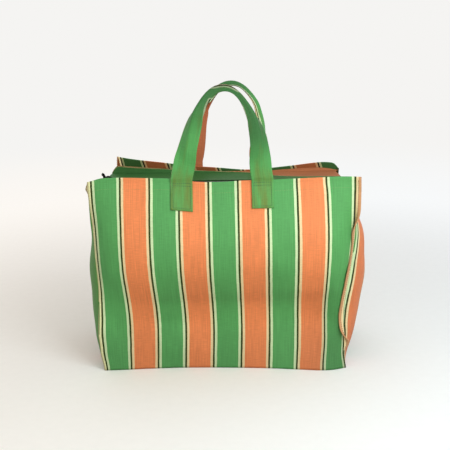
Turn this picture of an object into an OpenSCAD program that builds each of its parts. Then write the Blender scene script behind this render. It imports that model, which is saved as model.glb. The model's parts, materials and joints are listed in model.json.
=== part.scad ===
// Zip-top tote bag of striped woven cloth, with side gussets and two strap handles, that folds flat.
// Millimetres, +Z up. The front wall faces -Y, the zip runs along X and the base stands on z = 0.

/* [Bag] */
// Width of the mouth over the side seams
bag_w = 500; // [480:5:520]
// Width of the base over the side seams
base_w = 472; // [460:2:490]
// Height of the front and back walls
bag_h = 375; // [355:5:395]
// Depth over the front and back walls
bag_d = 235; // [225:5:250]
// Thickness of the woven cloth
cloth_t = 1; // [0.8:0.1:1.2]
// Width of the pinched seam at each upright corner
seam_w = 10; // [8:0.5:12]
// Depth of the facing inside the mouth
hem_h = 24; // [20:1:28]
// Play left between two pieces that are sewn together
sew_gap = 0.3; // [0.2:0.05:0.4]
// Play left between the base and the front and back walls
base_gap = 0.8; // [0.7:0.05:1]

/* [Wall shape] */
// Outward swell of the front wall
front_swell = 35; // [20:1:38]
// Inward dent of the front wall, under its swell
front_dent = 16; // [4:1:18]
// Outward swell of the back wall
back_swell = 11; // [4:1:16]
// Inward dent of the back wall
back_dent = 1; // [0:1:6]
// Height of a swell's crest
swell_z = 240; // [230:5:250]
// Height over which a swell rises to its crest
swell_r = 125; // [110:5:130]
// Height of the middle of a dent
dent_z = 98; // [90:2:106]
// Half of the height of a dent
dent_r = 55; // [45:5:60]
// Outward bulge of each gusset at half height
gusset_bulge = 40; // [20:1:48]
// Inward tuck of each gusset at the mouth
gusset_tuck = 14; // [8:1:16]
// Drop of the gusset's top edge at its middle
gusset_dip = 42; // [38:1:50]
// Height of the hem along the gusset's top edge
gusset_hem_h = 16; // [12:1:20]

/* [Zip] */
// Length of the two zip bands
band_l = 472; // [460:2:474]
// Half of the width left open between the two zip bands
band_in = 9; // [8:0.5:11]
// Length cut from each band's outer corners
band_cut = 14; // [12:1:18]
// Depth of the cut at each band's outer corners
band_cut_d = 38; // [34:1:44]
// Length of the zip tapes past the ends of the bands
tape_over = 7; // [6:0.5:9]
// Width of one zip tape
tape_w = 14; // [12:0.5:16]
// Thickness of one zip tape
tape_t = 0.8; // [0.6:0.1:1]
// Distance from one zip tooth to the next
tooth_pitch = 3; // [2.8:0.1:3.4]
// Width of one zip tooth
tooth_w = 1.2; // [1:0.05:1.2]
// Reach of a zip tooth past the middle of the zip
tooth_reach = 1.2; // [1:0.05:1.4]
// Width of the cord that one row of teeth stands on
bead_w = 1.8; // [1.4:0.1:2]
// Distance from the middle of the zip to the outside of a row of teeth
row_half = 4; // [3.8:0.1:4.2]
// Height of the teeth above the upper face of the tape
tooth_up = 0.8; // [0.6:0.1:1]
// Depth of the teeth below the upper face of the tape
tooth_down = 1.6; // [1.4:0.1:1.8]
// Width of one zip end stop
stop_w = 2; // [1.6:0.1:2.2]
// Length of one zip end stop
stop_l = 3; // [2:0.5:4]

/* [Slider] */
// Length of the slider
slider_l = 14; // [12:0.5:16]
// Width of the slider
slider_w = 10; // [9:0.5:11]
// Thickness of the slider's two plates
plate_t = 1; // [0.8:0.1:1.2]
// Play between the slider and the teeth
slider_gap = 0.3; // [0.2:0.05:0.4]
// Length of the neck that joins the slider's plates
neck_l = 2.5; // [2:0.1:3]
// Width of the neck that joins the slider's plates
neck_w = 1.8; // [1.4:0.1:2]
// Height of the pull's axis over the slider's upper plate
pull_rise = 2.3; // [2.2:0.1:2.8]
// Diameter of the pull's pin
pin_d = 2.3; // [1.8:0.1:2.4]
// Radial play of the pin in the slider's lug
pin_play = 0.08; // [0.04:0.01:0.1]
// Thickness of the slider's lug
lug_t = 2; // [1.6:0.1:2.4]
// Half of the length of the slider's lug
lug_half = 2.8; // [2.6:0.1:3.2]
// Thickness of each arm of the pull
arm_t = 1.4; // [1.2:0.1:1.6]
// Wall of the pull's eyes round the pin
eye_wall = 0.6; // [0.5:0.1:0.8]
// Length of the pull from its pin to its tip
pull_l = 30; // [24:1:36]
// Width of the pull's tab
pull_w = 7; // [6.6:0.2:8]
// Thickness of the pull's tab
pull_t = 1.4; // [1:0.1:1.6]
// Diameter of the hole near the pull's tip
pull_hole_d = 3; // [2:0.2:3.6]

/* [Handles] */
// Width of the handle strap where it is sewn on
strap_w = 40; // [34:1:44]
// Thickness of the handle strap
strap_t = 3; // [2:0.25:3.5]
// Distance between the middles of a handle's two legs
handle_span = 148; // [130:2:165]
// Height of the middle of the arch over the mouth
handle_rise = 160; // [140:5:180]
// Width of the curled strap at the top of the arch
grip_w = 17; // [14:1:24]
// Thickness of the curled strap at the top of the arch
grip_t = 10; // [8:0.5:11]
// Inward lean of the handle's legs
leg_lean = 14; // [8:1:20]
// Height over which the handle's legs stay nearly straight
leg_h = 60; // [40:2:70]
// Half of the width of the arch's round top
arch_half = 44; // [36:1:50]
// Height of the sewn end below the mouth
patch_h = 56; // [50:1:64]
// Sideways shift of the front handle
front_shift = -7; // [-10:1:10]
// Sideways shift of the back handle
back_shift = 0; // [-10:1:10]

/* [Stitching] */
// Width of a stitched line
stitch_w = 0.8; // [0.6:0.1:1]
// Thickness of the thread on the cloth
stitch_t = 0.5; // [0.4:0.1:0.7]
// Distance from a stitched line to the edge beside it
stitch_in = 4; // [3:0.5:5]

/* [Colours] */
// Green of the cloth
green = "#5aa35c"; // [#5aa35c, #3f8f6a]
// Orange of the cloth
orange = "#e8935f"; // [#e8935f, #d97a4a]
// Black of the zip
black = "#1d1c1b"; // [#1d1c1b, #33302c]
// Metal of the slider
metal = "#8f8b84"; // [#8f8b84, #6d6a66]
// Cream of the thread
cream = "#efe3c4"; // [#efe3c4, #ffffff]

/* [Hidden] */
wall_rows = 20;
wall_cols = 14;
gusset_rows = 16;
gusset_cols = 14;
patch_rows = 6;
arch_steps = 13;
arch_step = 0.01;
foot_ease = 0.12;
corner_power = 8;
bulge_power = 0.8;
tuck_power = 5;
round_fn = 48;
lower_h = bag_h - hem_h;
face_y = bag_d / 2;
gusset_y = face_y - cloth_t - sew_gap;
facing_half = half_w(lower_h) - seam_w - cloth_t - sew_gap;
zip_z = lower_h - cloth_t - sew_gap;
band_out = face_y - 2 * cloth_t - sew_gap;
tape_in = row_half + sew_gap;
tape_half = band_l / 2 + tape_over;
slider_x = -band_l / 2 + slider_l / 2 - neck_l - slider_gap;
chain_x0 = slider_x - slider_l / 2 + neck_l + slider_gap;
chain_n = floor((band_l / 2 - stop_l - sew_gap - chain_x0) / tooth_pitch);
chain_x1 = chain_x0 + chain_n * tooth_pitch;
first_tooth = (tooth_pitch / 2 - tooth_w) / 2;
plate_z0 = zip_z - tooth_down - slider_gap;
plate_z1 = zip_z + tooth_up + slider_gap;
pin_z = plate_z1 + plate_t + pull_rise;
strap_y = face_y + sew_gap;
patch_z = bag_h - patch_h;
hem_share = 1 - gusset_hem_h / bag_h;
gusset_span = [for (j = [0 : gusset_cols]) gusset_y * sin(180 * j / gusset_cols - 90)];

// Half of the width over the side seams at a height
function half_w(z) = base_w / 2 + (bag_w - base_w) / 2 * z / bag_h;

// A smooth hump of height 1 at 0 that ends at -1 and 1
function hump(t) = abs(t) < 1 ? (1 + cos(180 * t)) / 2 : 0;

// Share of a swell at a height; it ends under the facing
function swell_at(z) =
    z < swell_z ? hump((z - swell_z) / swell_r) : cos(90 * min((z - swell_z) / (lower_h - swell_z), 1));

// How far a wall stands out from its flat plane; its seams and the zone of the facing are flat
function wall_out(x, z, swell, dent) =
    let (u = min(abs(x) / (half_w(z) - seam_w), 1))
    (1 - pow(u, corner_power)) * (swell * swell_at(z) - dent * hump((z - dent_z) / dent_r));

// A point on a wall, lifted off its outer face
function wall_at(x, z, swell, dent, lift) = [x, -face_y - wall_out(x, z, swell, dent) - lift, z];

// How full a gusset is across its depth: nothing at the seams, all in the middle
function fullness(y) = 1 - pow(y / gusset_y, 4);

// Height of a gusset's top edge
function gusset_top(y) = bag_h - gusset_dip * fullness(y);

// How far a gusset stands out at a share of its height
function gusset_out(y, t) =
    fullness(y) * (gusset_bulge * sin(180 * pow(t, bulge_power)) - gusset_tuck * pow(t, tuck_power));

// Inner face of the right gusset
function gusset_x(y, t) = half_w(t * gusset_top(y)) - seam_w + gusset_out(y, t);

function flat_list(grid) = [for (row = grid) each row];

// A closed sheet between two grids of points, both seen from outside with rows going up
module thick_sheet(outer, inner) {
    n = len(outer);
    m = len(outer[0]);
    k = n * m;
    skin = [for (i = [0 : n - 2], j = [0 : m - 2]) let (a = i * m + j, c = a + m + 1) each
        [[a, a + m, c], [a, c, a + 1], [k + a, k + c, k + a + m], [k + a, k + a + 1, k + c]]];
    low = [for (j = [0 : m - 2]) each [[j, j + 1, k + j + 1], [j, k + j + 1, k + j]]];
    high = [for (j = [0 : m - 2]) let (d = (n - 1) * m + j) each
        [[d + 1, d, k + d], [d + 1, k + d, k + d + 1]]];
    left = [for (i = [0 : n - 2]) let (a = i * m) each [[a + m, a, k + a], [a + m, k + a, k + a + m]]];
    right = [for (i = [0 : n - 2]) let (b = i * m + m - 1) each
        [[b, b + m, k + b + m], [b, k + b + m, k + b]]];
    polyhedron(concat(flat_list(outer), flat_list(inner)), concat(skin, low, high, left, right));
}

// A patch of sheet on a wall, from a grid of places across and up the wall
module wall_patch(places, swell, dent, lift, thick) {
    thick_sheet(
        [for (row = places) [for (p = row) wall_at(p[0], p[1], swell, dent, lift + thick)]],
        [for (row = places) [for (p = row) wall_at(p[0], p[1], swell, dent, lift)]]
    );
}

// One wall of the bag, as the front one
module wall(swell, dent) {
    heights = concat([for (i = [0 : wall_rows]) lower_h * i / wall_rows], [bag_h]);
    across = [for (j = [0 : wall_cols]) sin(180 * j / wall_cols - 90)];
    places = [for (z = heights) concat(
        [[-half_w(z), z]],
        [for (u = across) [u * (half_w(z) - seam_w), z]],
        [[half_w(z), z]]
    )];
    wall_patch(places, swell, dent, -cloth_t, cloth_t);
}

// The right gusset with its two seam edges
module gusset() {
    levels = concat([for (i = [0 : gusset_rows]) hem_share * i / gusset_rows], [1]);
    inner = [for (t = levels) concat(
        [[half_w(t * bag_h), -gusset_y, t * bag_h]],
        [for (y = gusset_span) [gusset_x(y, t), y, t * gusset_top(y)]],
        [[half_w(t * bag_h), gusset_y, t * bag_h]]
    )];
    outer = [for (t = levels) concat(
        [[half_w(t * bag_h), -gusset_y + cloth_t, t * bag_h]],
        [for (y = gusset_span) [
            gusset_x(y, t) + cloth_t,
            max(min(y, gusset_y - cloth_t), -gusset_y + cloth_t),
            t * gusset_top(y)]],
        [[half_w(t * bag_h), gusset_y - cloth_t, t * bag_h]]
    )];
    thick_sheet(outer, inner);
}

// The hem inside the top edge of the right gusset
module gusset_hem() {
    hem_y = [for (j = [1 : gusset_cols - 1]) gusset_span[j]];
    grids = [for (inside = [sew_gap, sew_gap + cloth_t])
        [for (t = [hem_share, 1]) [for (y = hem_y) [gusset_x(y, t) - inside, y, t * gusset_top(y)]]]];
    thick_sheet(grids[0], grids[1]);
}

// The strip that faces a wall inside the mouth
module facing() {
    translate([-facing_half, -face_y + cloth_t, lower_h])
        cube([2 * facing_half, cloth_t, hem_h]);
}

// The band between a facing and the zip, as the back one
module zip_band() {
    half = band_l / 2;
    cut_y = band_out - band_cut_d;
    translate([0, 0, zip_z])
        linear_extrude(cloth_t)
            polygon([
                [-half, band_in], [half, band_in], [half, cut_y], [half - band_cut, cut_y + band_cut],
                [half - band_cut, band_out], [band_cut - half, band_out],
                [band_cut - half, cut_y + band_cut], [-half, cut_y]
            ]);
}

// The tape under a band, as the back one
module zip_tape() {
    translate([-tape_half, tape_in, zip_z - tape_t])
        cube([2 * tape_half, tape_w, tape_t]);
}

// A row of teeth on its cord, as the back one
module zip_teeth(first) {
    bead_in = row_half - bead_w;
    edge = [for (i = [0 : chain_n - 1]) let (x = chain_x0 + first + i * tooth_pitch) each [
        [x, bead_in], [x, -tooth_reach], [x + tooth_w, -tooth_reach], [x + tooth_w, bead_in]]];
    translate([0, 0, zip_z - tooth_down])
        linear_extrude(tooth_down + tooth_up)
            polygon(concat(
                [[chain_x0, row_half], [chain_x0, bead_in]],
                edge,
                [[chain_x1, bead_in], [chain_x1, row_half]]
            ));
}

// The stop at the closed end of a row of teeth, as the back one
module zip_stop() {
    translate([slider_x - slider_l / 2 - slider_gap - stop_l, row_half - stop_w, zip_z - tooth_down])
        cube([stop_l, stop_w, tooth_down + tooth_up]);
}

// The stitched line along a band beside the zip, as the back one
module band_stitching() {
    translate([-band_l / 2 + stitch_in, band_in + stitch_in - stitch_w / 2, zip_z + cloth_t])
        cube([band_l - 2 * stitch_in, stitch_w, stitch_t]);
}

// The two sewn ends of a handle, as the front ones
module handle_ends(shift, swell, dent) {
    levels = concat([for (i = [0 : patch_rows]) patch_z + (lower_h - patch_z) * i / patch_rows], [bag_h]);
    for (side = [-1, 1]) {
        x = shift + side * handle_span / 2;
        wall_patch(
            [for (z = levels) [for (d = [-strap_w / 2, 0, strap_w / 2]) [x + d, z]]],
            swell, dent, sew_gap, strap_t);
    }
}

// The stitched box on each sewn end, as the front ones
module handle_stitching(shift, swell, dent) {
    lift = sew_gap + strap_t + sew_gap / 2;
    reach = strap_w / 2 - stitch_in;
    low = patch_z + stitch_in;
    high = bag_h - stitch_in;
    half = stitch_w / 2;
    upright = concat([for (i = [0 : patch_rows]) low + (lower_h - low) * i / patch_rows], [high]);
    for (side = [-1, 1]) {
        x = shift + side * handle_span / 2;
        for (edge = [x - reach, x + reach])
            wall_patch([for (z = upright) [[edge - half, z], [edge + half, z]]], swell, dent, lift, stitch_t);
        for (z = [low, high])
            wall_patch(
                [for (rise = [-half, half]) [for (d = [half + sew_gap - reach, 0, reach - half - sew_gap])
                    [x + d, z + rise]]],
                swell, dent, lift, stitch_t);
    }
}

// The stitched line along a facing's lower edge, broken at the sewn ends, as the front one
module rim_stitching(shift) {
    z = lower_h + stitch_in;
    leg = handle_span / 2;
    clear = strap_w / 2 + 2 * sew_gap;
    far = facing_half - stitch_in;
    left = shift - leg;
    right = shift + leg;
    for (run = [[-far, left - clear], [left + clear, right - clear], [right + clear, far]])
        translate([run[0], -face_y - stitch_t, z - stitch_w / 2])
            cube([run[1] - run[0], stitch_t, stitch_w]);
}

// The stitched line up each side seam, as the front ones
module seam_stitching(swell, dent) {
    levels = [for (i = [0 : wall_rows]) stitch_in + (lower_h - stitch_in) * i / wall_rows];
    for (side = [-1, 1])
        wall_patch(
            [for (z = levels) [for (d = [-stitch_w / 2, stitch_w / 2])
                [side * (half_w(z) - seam_w / 2) + d, z]]],
            swell, dent, sew_gap / 2, stitch_t);
}

// Middle line of a handle, in its own plane, from the left foot over the arch to the right foot
function arch_at(s) =
    let (
        side = s < 0 ? -1 : 1,
        t = 1 - abs(s),
        r = 1 - t,
        foot = handle_span / 2,
        x = foot * pow(r, 3) + 3 * (foot - leg_lean) * r * r * t + 3 * arch_half * r * t * t,
        z = 3 * leg_h * r * r * t + 3 * handle_rise * r * t * t + handle_rise * pow(t, 3)
    )
    [side * x, z];

// The handle's direction across its strap, level at the feet
function arch_across(s) =
    let (
        a = arch_at(max(s - arch_step, -1)),
        b = arch_at(min(s + arch_step, 1)),
        turn = atan2(b[1] - a[1], b[0] - a[0]),
        ease = min((1 - abs(s)) / foot_ease, 1),
        level = s < 0 ? 90 : -90,
        angle = level + (turn - level) * ease * ease * (3 - 2 * ease)
    )
    [sin(angle), -cos(angle)];

// The free loop of a handle, as the front one
module handle_loop(shift) {
    outline = [[1, 0.5], [0.8, 1], [-0.8, 1], [-1, 0.5], [-1, -0.5], [-0.8, -1], [0.8, -1], [1, -0.5]];
    sides = len(outline);
    stations = [for (i = [-arch_steps : arch_steps]) i / arch_steps];
    rings = len(stations);
    points = [for (s = stations) let (
        middle = arch_at(s),
        across = arch_across(s),
        w = (grip_w + (strap_w - grip_w) * abs(s)) / 2,
        h = (grip_t + (strap_t - grip_t) * abs(s)) / 2
    ) each [for (p = outline) [
        shift + middle[0] + across[0] * p[0] * w,
        p[1] * h - strap_y - strap_t / 2,
        bag_h + sew_gap + middle[1] + across[1] * p[0] * w]]];
    skin = [for (i = [0 : rings - 2], j = [0 : sides - 1]) let (
        a = i * sides + j,
        b = i * sides + (j + 1) % sides
    ) each [[a, a + sides, b + sides], [a, b + sides, b]]];
    first = [for (j = [0 : sides - 1]) j];
    last = [for (j = [0 : sides - 1]) rings * sides - 1 - j];
    polyhedron(points, concat(skin, [first, last]));
}

module front_panel() color(green) wall(front_swell, front_dent);

module back_panel() color(green) mirror([0, 1, 0]) wall(back_swell, back_dent);

module right_gusset() color(orange) gusset();

module left_gusset() color(green) mirror([1, 0, 0]) gusset();

module right_gusset_hem() color(orange) gusset_hem();

module left_gusset_hem() color(green) mirror([1, 0, 0]) gusset_hem();

module base_panel() {
    half_x = base_w / 2 - seam_w - sew_gap;
    half_y = face_y - cloth_t - base_gap;
    color(green)
        translate([-half_x, -half_y, 0])
            cube([2 * half_x, 2 * half_y, cloth_t]);
}

module front_facing() color(orange) facing();

module back_facing() color(orange) mirror([0, 1, 0]) facing();

module front_zip_band() color(green) mirror([0, 1, 0]) zip_band();

module back_zip_band() color(green) zip_band();

module front_zip_tape() color(black) mirror([0, 1, 0]) zip_tape();

module back_zip_tape() color(black) zip_tape();

module front_zip_teeth() color(black) mirror([0, 1, 0]) zip_teeth(first_tooth + tooth_pitch / 2);

module back_zip_teeth() color(black) zip_teeth(first_tooth);

module front_zip_stop() color(metal) mirror([0, 1, 0]) zip_stop();

module back_zip_stop() color(metal) zip_stop();

module zip_bottom_stop() {
    color(metal)
        translate([chain_x1 + sew_gap, -row_half, zip_z - tooth_down])
            cube([stop_l, 2 * row_half, tooth_down + tooth_up]);
}

// Two plates joined by a neck, with a lug on top for the pull's pin
module zip_slider() {
    neck_y = -tooth_reach - slider_gap - neck_w;
    color(metal)
        difference() {
            union() {
                for (z = [plate_z0 - plate_t, plate_z1])
                    translate([slider_x - slider_l / 2, -slider_w / 2, z])
                        cube([slider_l, slider_w, plate_t]);
                translate([slider_x - slider_l / 2, neck_y, plate_z0 - plate_t / 2])
                    cube([neck_l, neck_w, plate_z1 - plate_z0 + plate_t]);
                translate([slider_x - lug_half, -lug_t / 2, plate_z1])
                    cube([2 * lug_half, lug_t, plate_t + pull_rise]);
                translate([slider_x, lug_t / 2, pin_z])
                    rotate([90, 0, 0])
                        cylinder(r = lug_half, h = lug_t, $fn = round_fn);
            }
            translate([slider_x, lug_t, pin_z])
                rotate([90, 0, 0])
                    cylinder(d = pin_d + 2 * pin_play, h = 2 * lug_t, $fn = round_fn);
        }
}

// Two arms round the lug and a flat tab with a hole at its tip
module zip_pull() {
    arm_y = lug_t / 2 + sew_gap;
    tab_x = lug_half + sew_gap + pin_d / 2;
    color(metal)
        translate([slider_x, 0, pin_z])
            difference() {
                union() {
                    for (side = [0, 1])
                        mirror([0, side, 0]) {
                            translate([0, arm_y, -pull_t / 2])
                                cube([tab_x + arm_t, arm_t, pull_t]);
                            translate([0, arm_y + arm_t, 0])
                                rotate([90, 0, 0])
                                    cylinder(r = pin_d / 2 + eye_wall, h = arm_t, $fn = round_fn);
                        }
                    translate([tab_x, -pull_w / 2, -pull_t / 2])
                        cube([pull_l - tab_x - pull_w / 2, pull_w, pull_t]);
                    translate([pull_l - pull_w / 2, 0, -pull_t / 2])
                        cylinder(d = pull_w, h = pull_t, $fn = round_fn);
                }
                translate([pull_l - pull_w / 2, 0, -pull_t])
                    cylinder(d = pull_hole_d, h = 2 * pull_t, $fn = round_fn);
                translate([0, arm_y + 2 * arm_t, 0])
                    rotate([90, 0, 0])
                        cylinder(d = pin_d, h = 2 * arm_y + 4 * arm_t, $fn = round_fn);
            }
}

module zip_pull_pin() {
    half = lug_t / 2 + sew_gap + arm_t;
    color(metal)
        translate([slider_x, half, pin_z])
            rotate([90, 0, 0])
                cylinder(d = pin_d, h = 2 * half, $fn = round_fn);
}

module front_handle_loop() color(green) handle_loop(front_shift);

module back_handle_loop() color(green) mirror([0, 1, 0]) handle_loop(back_shift);

module front_handle_ends() color(green) handle_ends(front_shift, front_swell, front_dent);

module back_handle_ends() color(green) mirror([0, 1, 0]) handle_ends(back_shift, back_swell, back_dent);

module front_handle_stitching() color(cream) handle_stitching(front_shift, front_swell, front_dent);

module back_handle_stitching() color(cream) mirror([0, 1, 0]) handle_stitching(back_shift, back_swell, back_dent);

module front_rim_stitching() color(cream) rim_stitching(front_shift);

module back_rim_stitching() color(cream) mirror([0, 1, 0]) rim_stitching(back_shift);

module front_seam_stitching() color(cream) seam_stitching(front_swell, front_dent);

module back_seam_stitching() color(cream) mirror([0, 1, 0]) seam_stitching(back_swell, back_dent);

module front_band_stitching() color(cream) mirror([0, 1, 0]) band_stitching();

module back_band_stitching() color(cream) band_stitching();

front_panel();
back_panel();
left_gusset();
right_gusset();
base_panel();
front_facing();
back_facing();
left_gusset_hem();
right_gusset_hem();
front_zip_band();
back_zip_band();
front_zip_tape();
back_zip_tape();
front_zip_teeth();
back_zip_teeth();
front_zip_stop();
back_zip_stop();
zip_bottom_stop();
zip_slider();
zip_pull();
zip_pull_pin();
front_handle_loop();
back_handle_loop();
front_handle_ends();
back_handle_ends();
front_handle_stitching();
back_handle_stitching();
front_rim_stitching();
back_rim_stitching();
front_seam_stitching();
back_seam_stitching();
front_band_stitching();
back_band_stitching();
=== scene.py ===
"""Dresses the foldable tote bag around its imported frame: striped cloth, sewn straps and a zip."""

import json
import logging
import math
from dataclasses import dataclass
from enum import Enum
from typing import Callable, Iterable, Optional

import bmesh
import bpy
from mathutils import Matrix, Vector, noise


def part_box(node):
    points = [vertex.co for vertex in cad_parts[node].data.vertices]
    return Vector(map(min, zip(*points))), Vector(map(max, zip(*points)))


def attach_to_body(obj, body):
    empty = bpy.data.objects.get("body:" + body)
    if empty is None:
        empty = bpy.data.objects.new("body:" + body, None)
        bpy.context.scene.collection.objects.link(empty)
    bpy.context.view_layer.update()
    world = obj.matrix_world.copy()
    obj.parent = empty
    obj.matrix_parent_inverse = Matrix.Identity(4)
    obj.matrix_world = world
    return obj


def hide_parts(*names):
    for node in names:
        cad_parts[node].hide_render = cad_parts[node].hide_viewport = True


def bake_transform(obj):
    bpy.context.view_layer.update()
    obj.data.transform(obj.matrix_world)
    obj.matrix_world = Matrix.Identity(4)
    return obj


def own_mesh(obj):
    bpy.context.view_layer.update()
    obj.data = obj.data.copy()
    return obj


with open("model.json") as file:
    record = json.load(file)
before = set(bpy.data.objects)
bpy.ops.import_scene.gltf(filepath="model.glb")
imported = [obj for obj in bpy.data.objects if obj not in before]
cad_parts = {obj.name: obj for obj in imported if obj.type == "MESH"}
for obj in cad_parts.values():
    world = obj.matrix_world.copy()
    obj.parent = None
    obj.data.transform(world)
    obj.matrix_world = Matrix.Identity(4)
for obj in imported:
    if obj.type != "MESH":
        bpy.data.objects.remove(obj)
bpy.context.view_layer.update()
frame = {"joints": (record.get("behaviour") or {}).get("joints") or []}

LOG = logging.getLogger("tote_bag")

Colour = tuple[float, float, float, float]
Scale = tuple[float, float, float]
Curve = tuple[tuple[float, float], ...]
Flat = tuple[float, float]
Place = Callable[[float, float], Vector]
FlatPlace = Callable[[float, float], Flat]
Aimed = tuple[Vector, Vector]
Run = Callable[[float], Aimed]
Folds = tuple[tuple[float, float, float, float], ...]
Socket = bpy.types.NodeSocket
Material = bpy.types.Material
Piece = bpy.types.Object
Shape = bmesh.types.BMesh

PATTERN_MAP = "pattern"
YARN_MAP = "yarn"

# Stripes of the cloth, in metres across it: lines at an even pitch, with a band between two lines.
FIRST_LINE = -0.249
LINE_PITCH = 0.05406
BLACK_HALF = 0.0018
GROUP_HALF = 0.0063
GREEN_MIDDLE = FIRST_LINE + LINE_PITCH / 2
LAST_LINE = FIRST_LINE + 9 * LINE_PITCH

# Thickness of facings, hems and sewn margins as a share of the cloth's.
LINING_SHARE = 0.8
STITCH_PITCH = 0.0042
STITCH_WIDTH = 0.0009
STITCH_FILL = 0.8


class NamedSide(Enum):
    """One of two opposite sides of the bag, by its sign along an axis."""

    @property
    def word(self) -> str:
        """Name of the side."""
        return self.name.lower()


class Face(NamedSide):
    """The two large walls, by the sign of the way that each one faces along Y."""

    FRONT = -1
    BACK = 1


class Side(NamedSide):
    """The two sides of the bag, by their sign along X."""

    LEFT = -1
    RIGHT = 1


def srgb(red: int, green: int, blue: int) -> Colour:
    """Turn a screen colour into the linear colour that a shader takes.

    Args:
        red: Red from 0 to 255.
        green: Green from 0 to 255.
        blue: Blue from 0 to 255.

    Returns:
        The linear colour, opaque.
    """
    shares = [channel / 255 for channel in (red, green, blue)]
    linear = [s / 12.92 if s <= 0.04045 else ((s + 0.055) / 1.055) ** 2.4 for s in shares]
    return (linear[0], linear[1], linear[2], 1.0)


def ease(share: float) -> float:
    """Smooth step from 0 to 1."""
    held = min(max(share, 0.0), 1.0)
    return held * held * (3 - 2 * held)


def between(start: float, end: float, share: float) -> float:
    """Value at a share of the way from a start to an end."""
    return start + (end - start) * share


def follow(curve: Curve, at: float) -> float:
    """Read a smooth line that passes through a few points.

    Args:
        curve: Pairs of a place and the value there, in order of place.
        at: The place to read.

    Returns:
        The value, which stays level past both ends.
    """
    if at <= curve[0][0]:
        return curve[0][1]
    if at >= curve[-1][0]:
        return curve[-1][1]
    last = len(curve) - 1
    i = max(k for k in range(last) if curve[k][0] <= at)
    width = curve[i + 1][0] - curve[i][0]
    slopes = []
    for k in (i, i + 1):
        before = curve[max(k - 1, 0)]
        after = curve[min(k + 1, last)]
        slopes.append((after[1] - before[1]) / (after[0] - before[0]) * width)
    t = (at - curve[i][0]) / width
    start = (1 + 2 * t) * (1 - t) ** 2 * curve[i][1] + t * (1 - t) ** 2 * slopes[0]
    end = t * t * (3 - 2 * t) * curve[i + 1][1] + t * t * (t - 1) * slopes[1]
    return start + end


def crumpled(folds: Folds, first: float, second: float, sign: int) -> float:
    """Add up sets of small folds in cloth.

    Args:
        folds: The size, the two scales and the seed of each set.
        first: First place on the cloth.
        second: Second place on the cloth.
        sign: Sign of the side, so that opposite sides differ.

    Returns:
        How far the folds stand out.
    """
    return sum(
        size * noise.noise(Vector((first * wide, second * tall, seed * sign)))
        for size, wide, tall, seed in folds)


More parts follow.
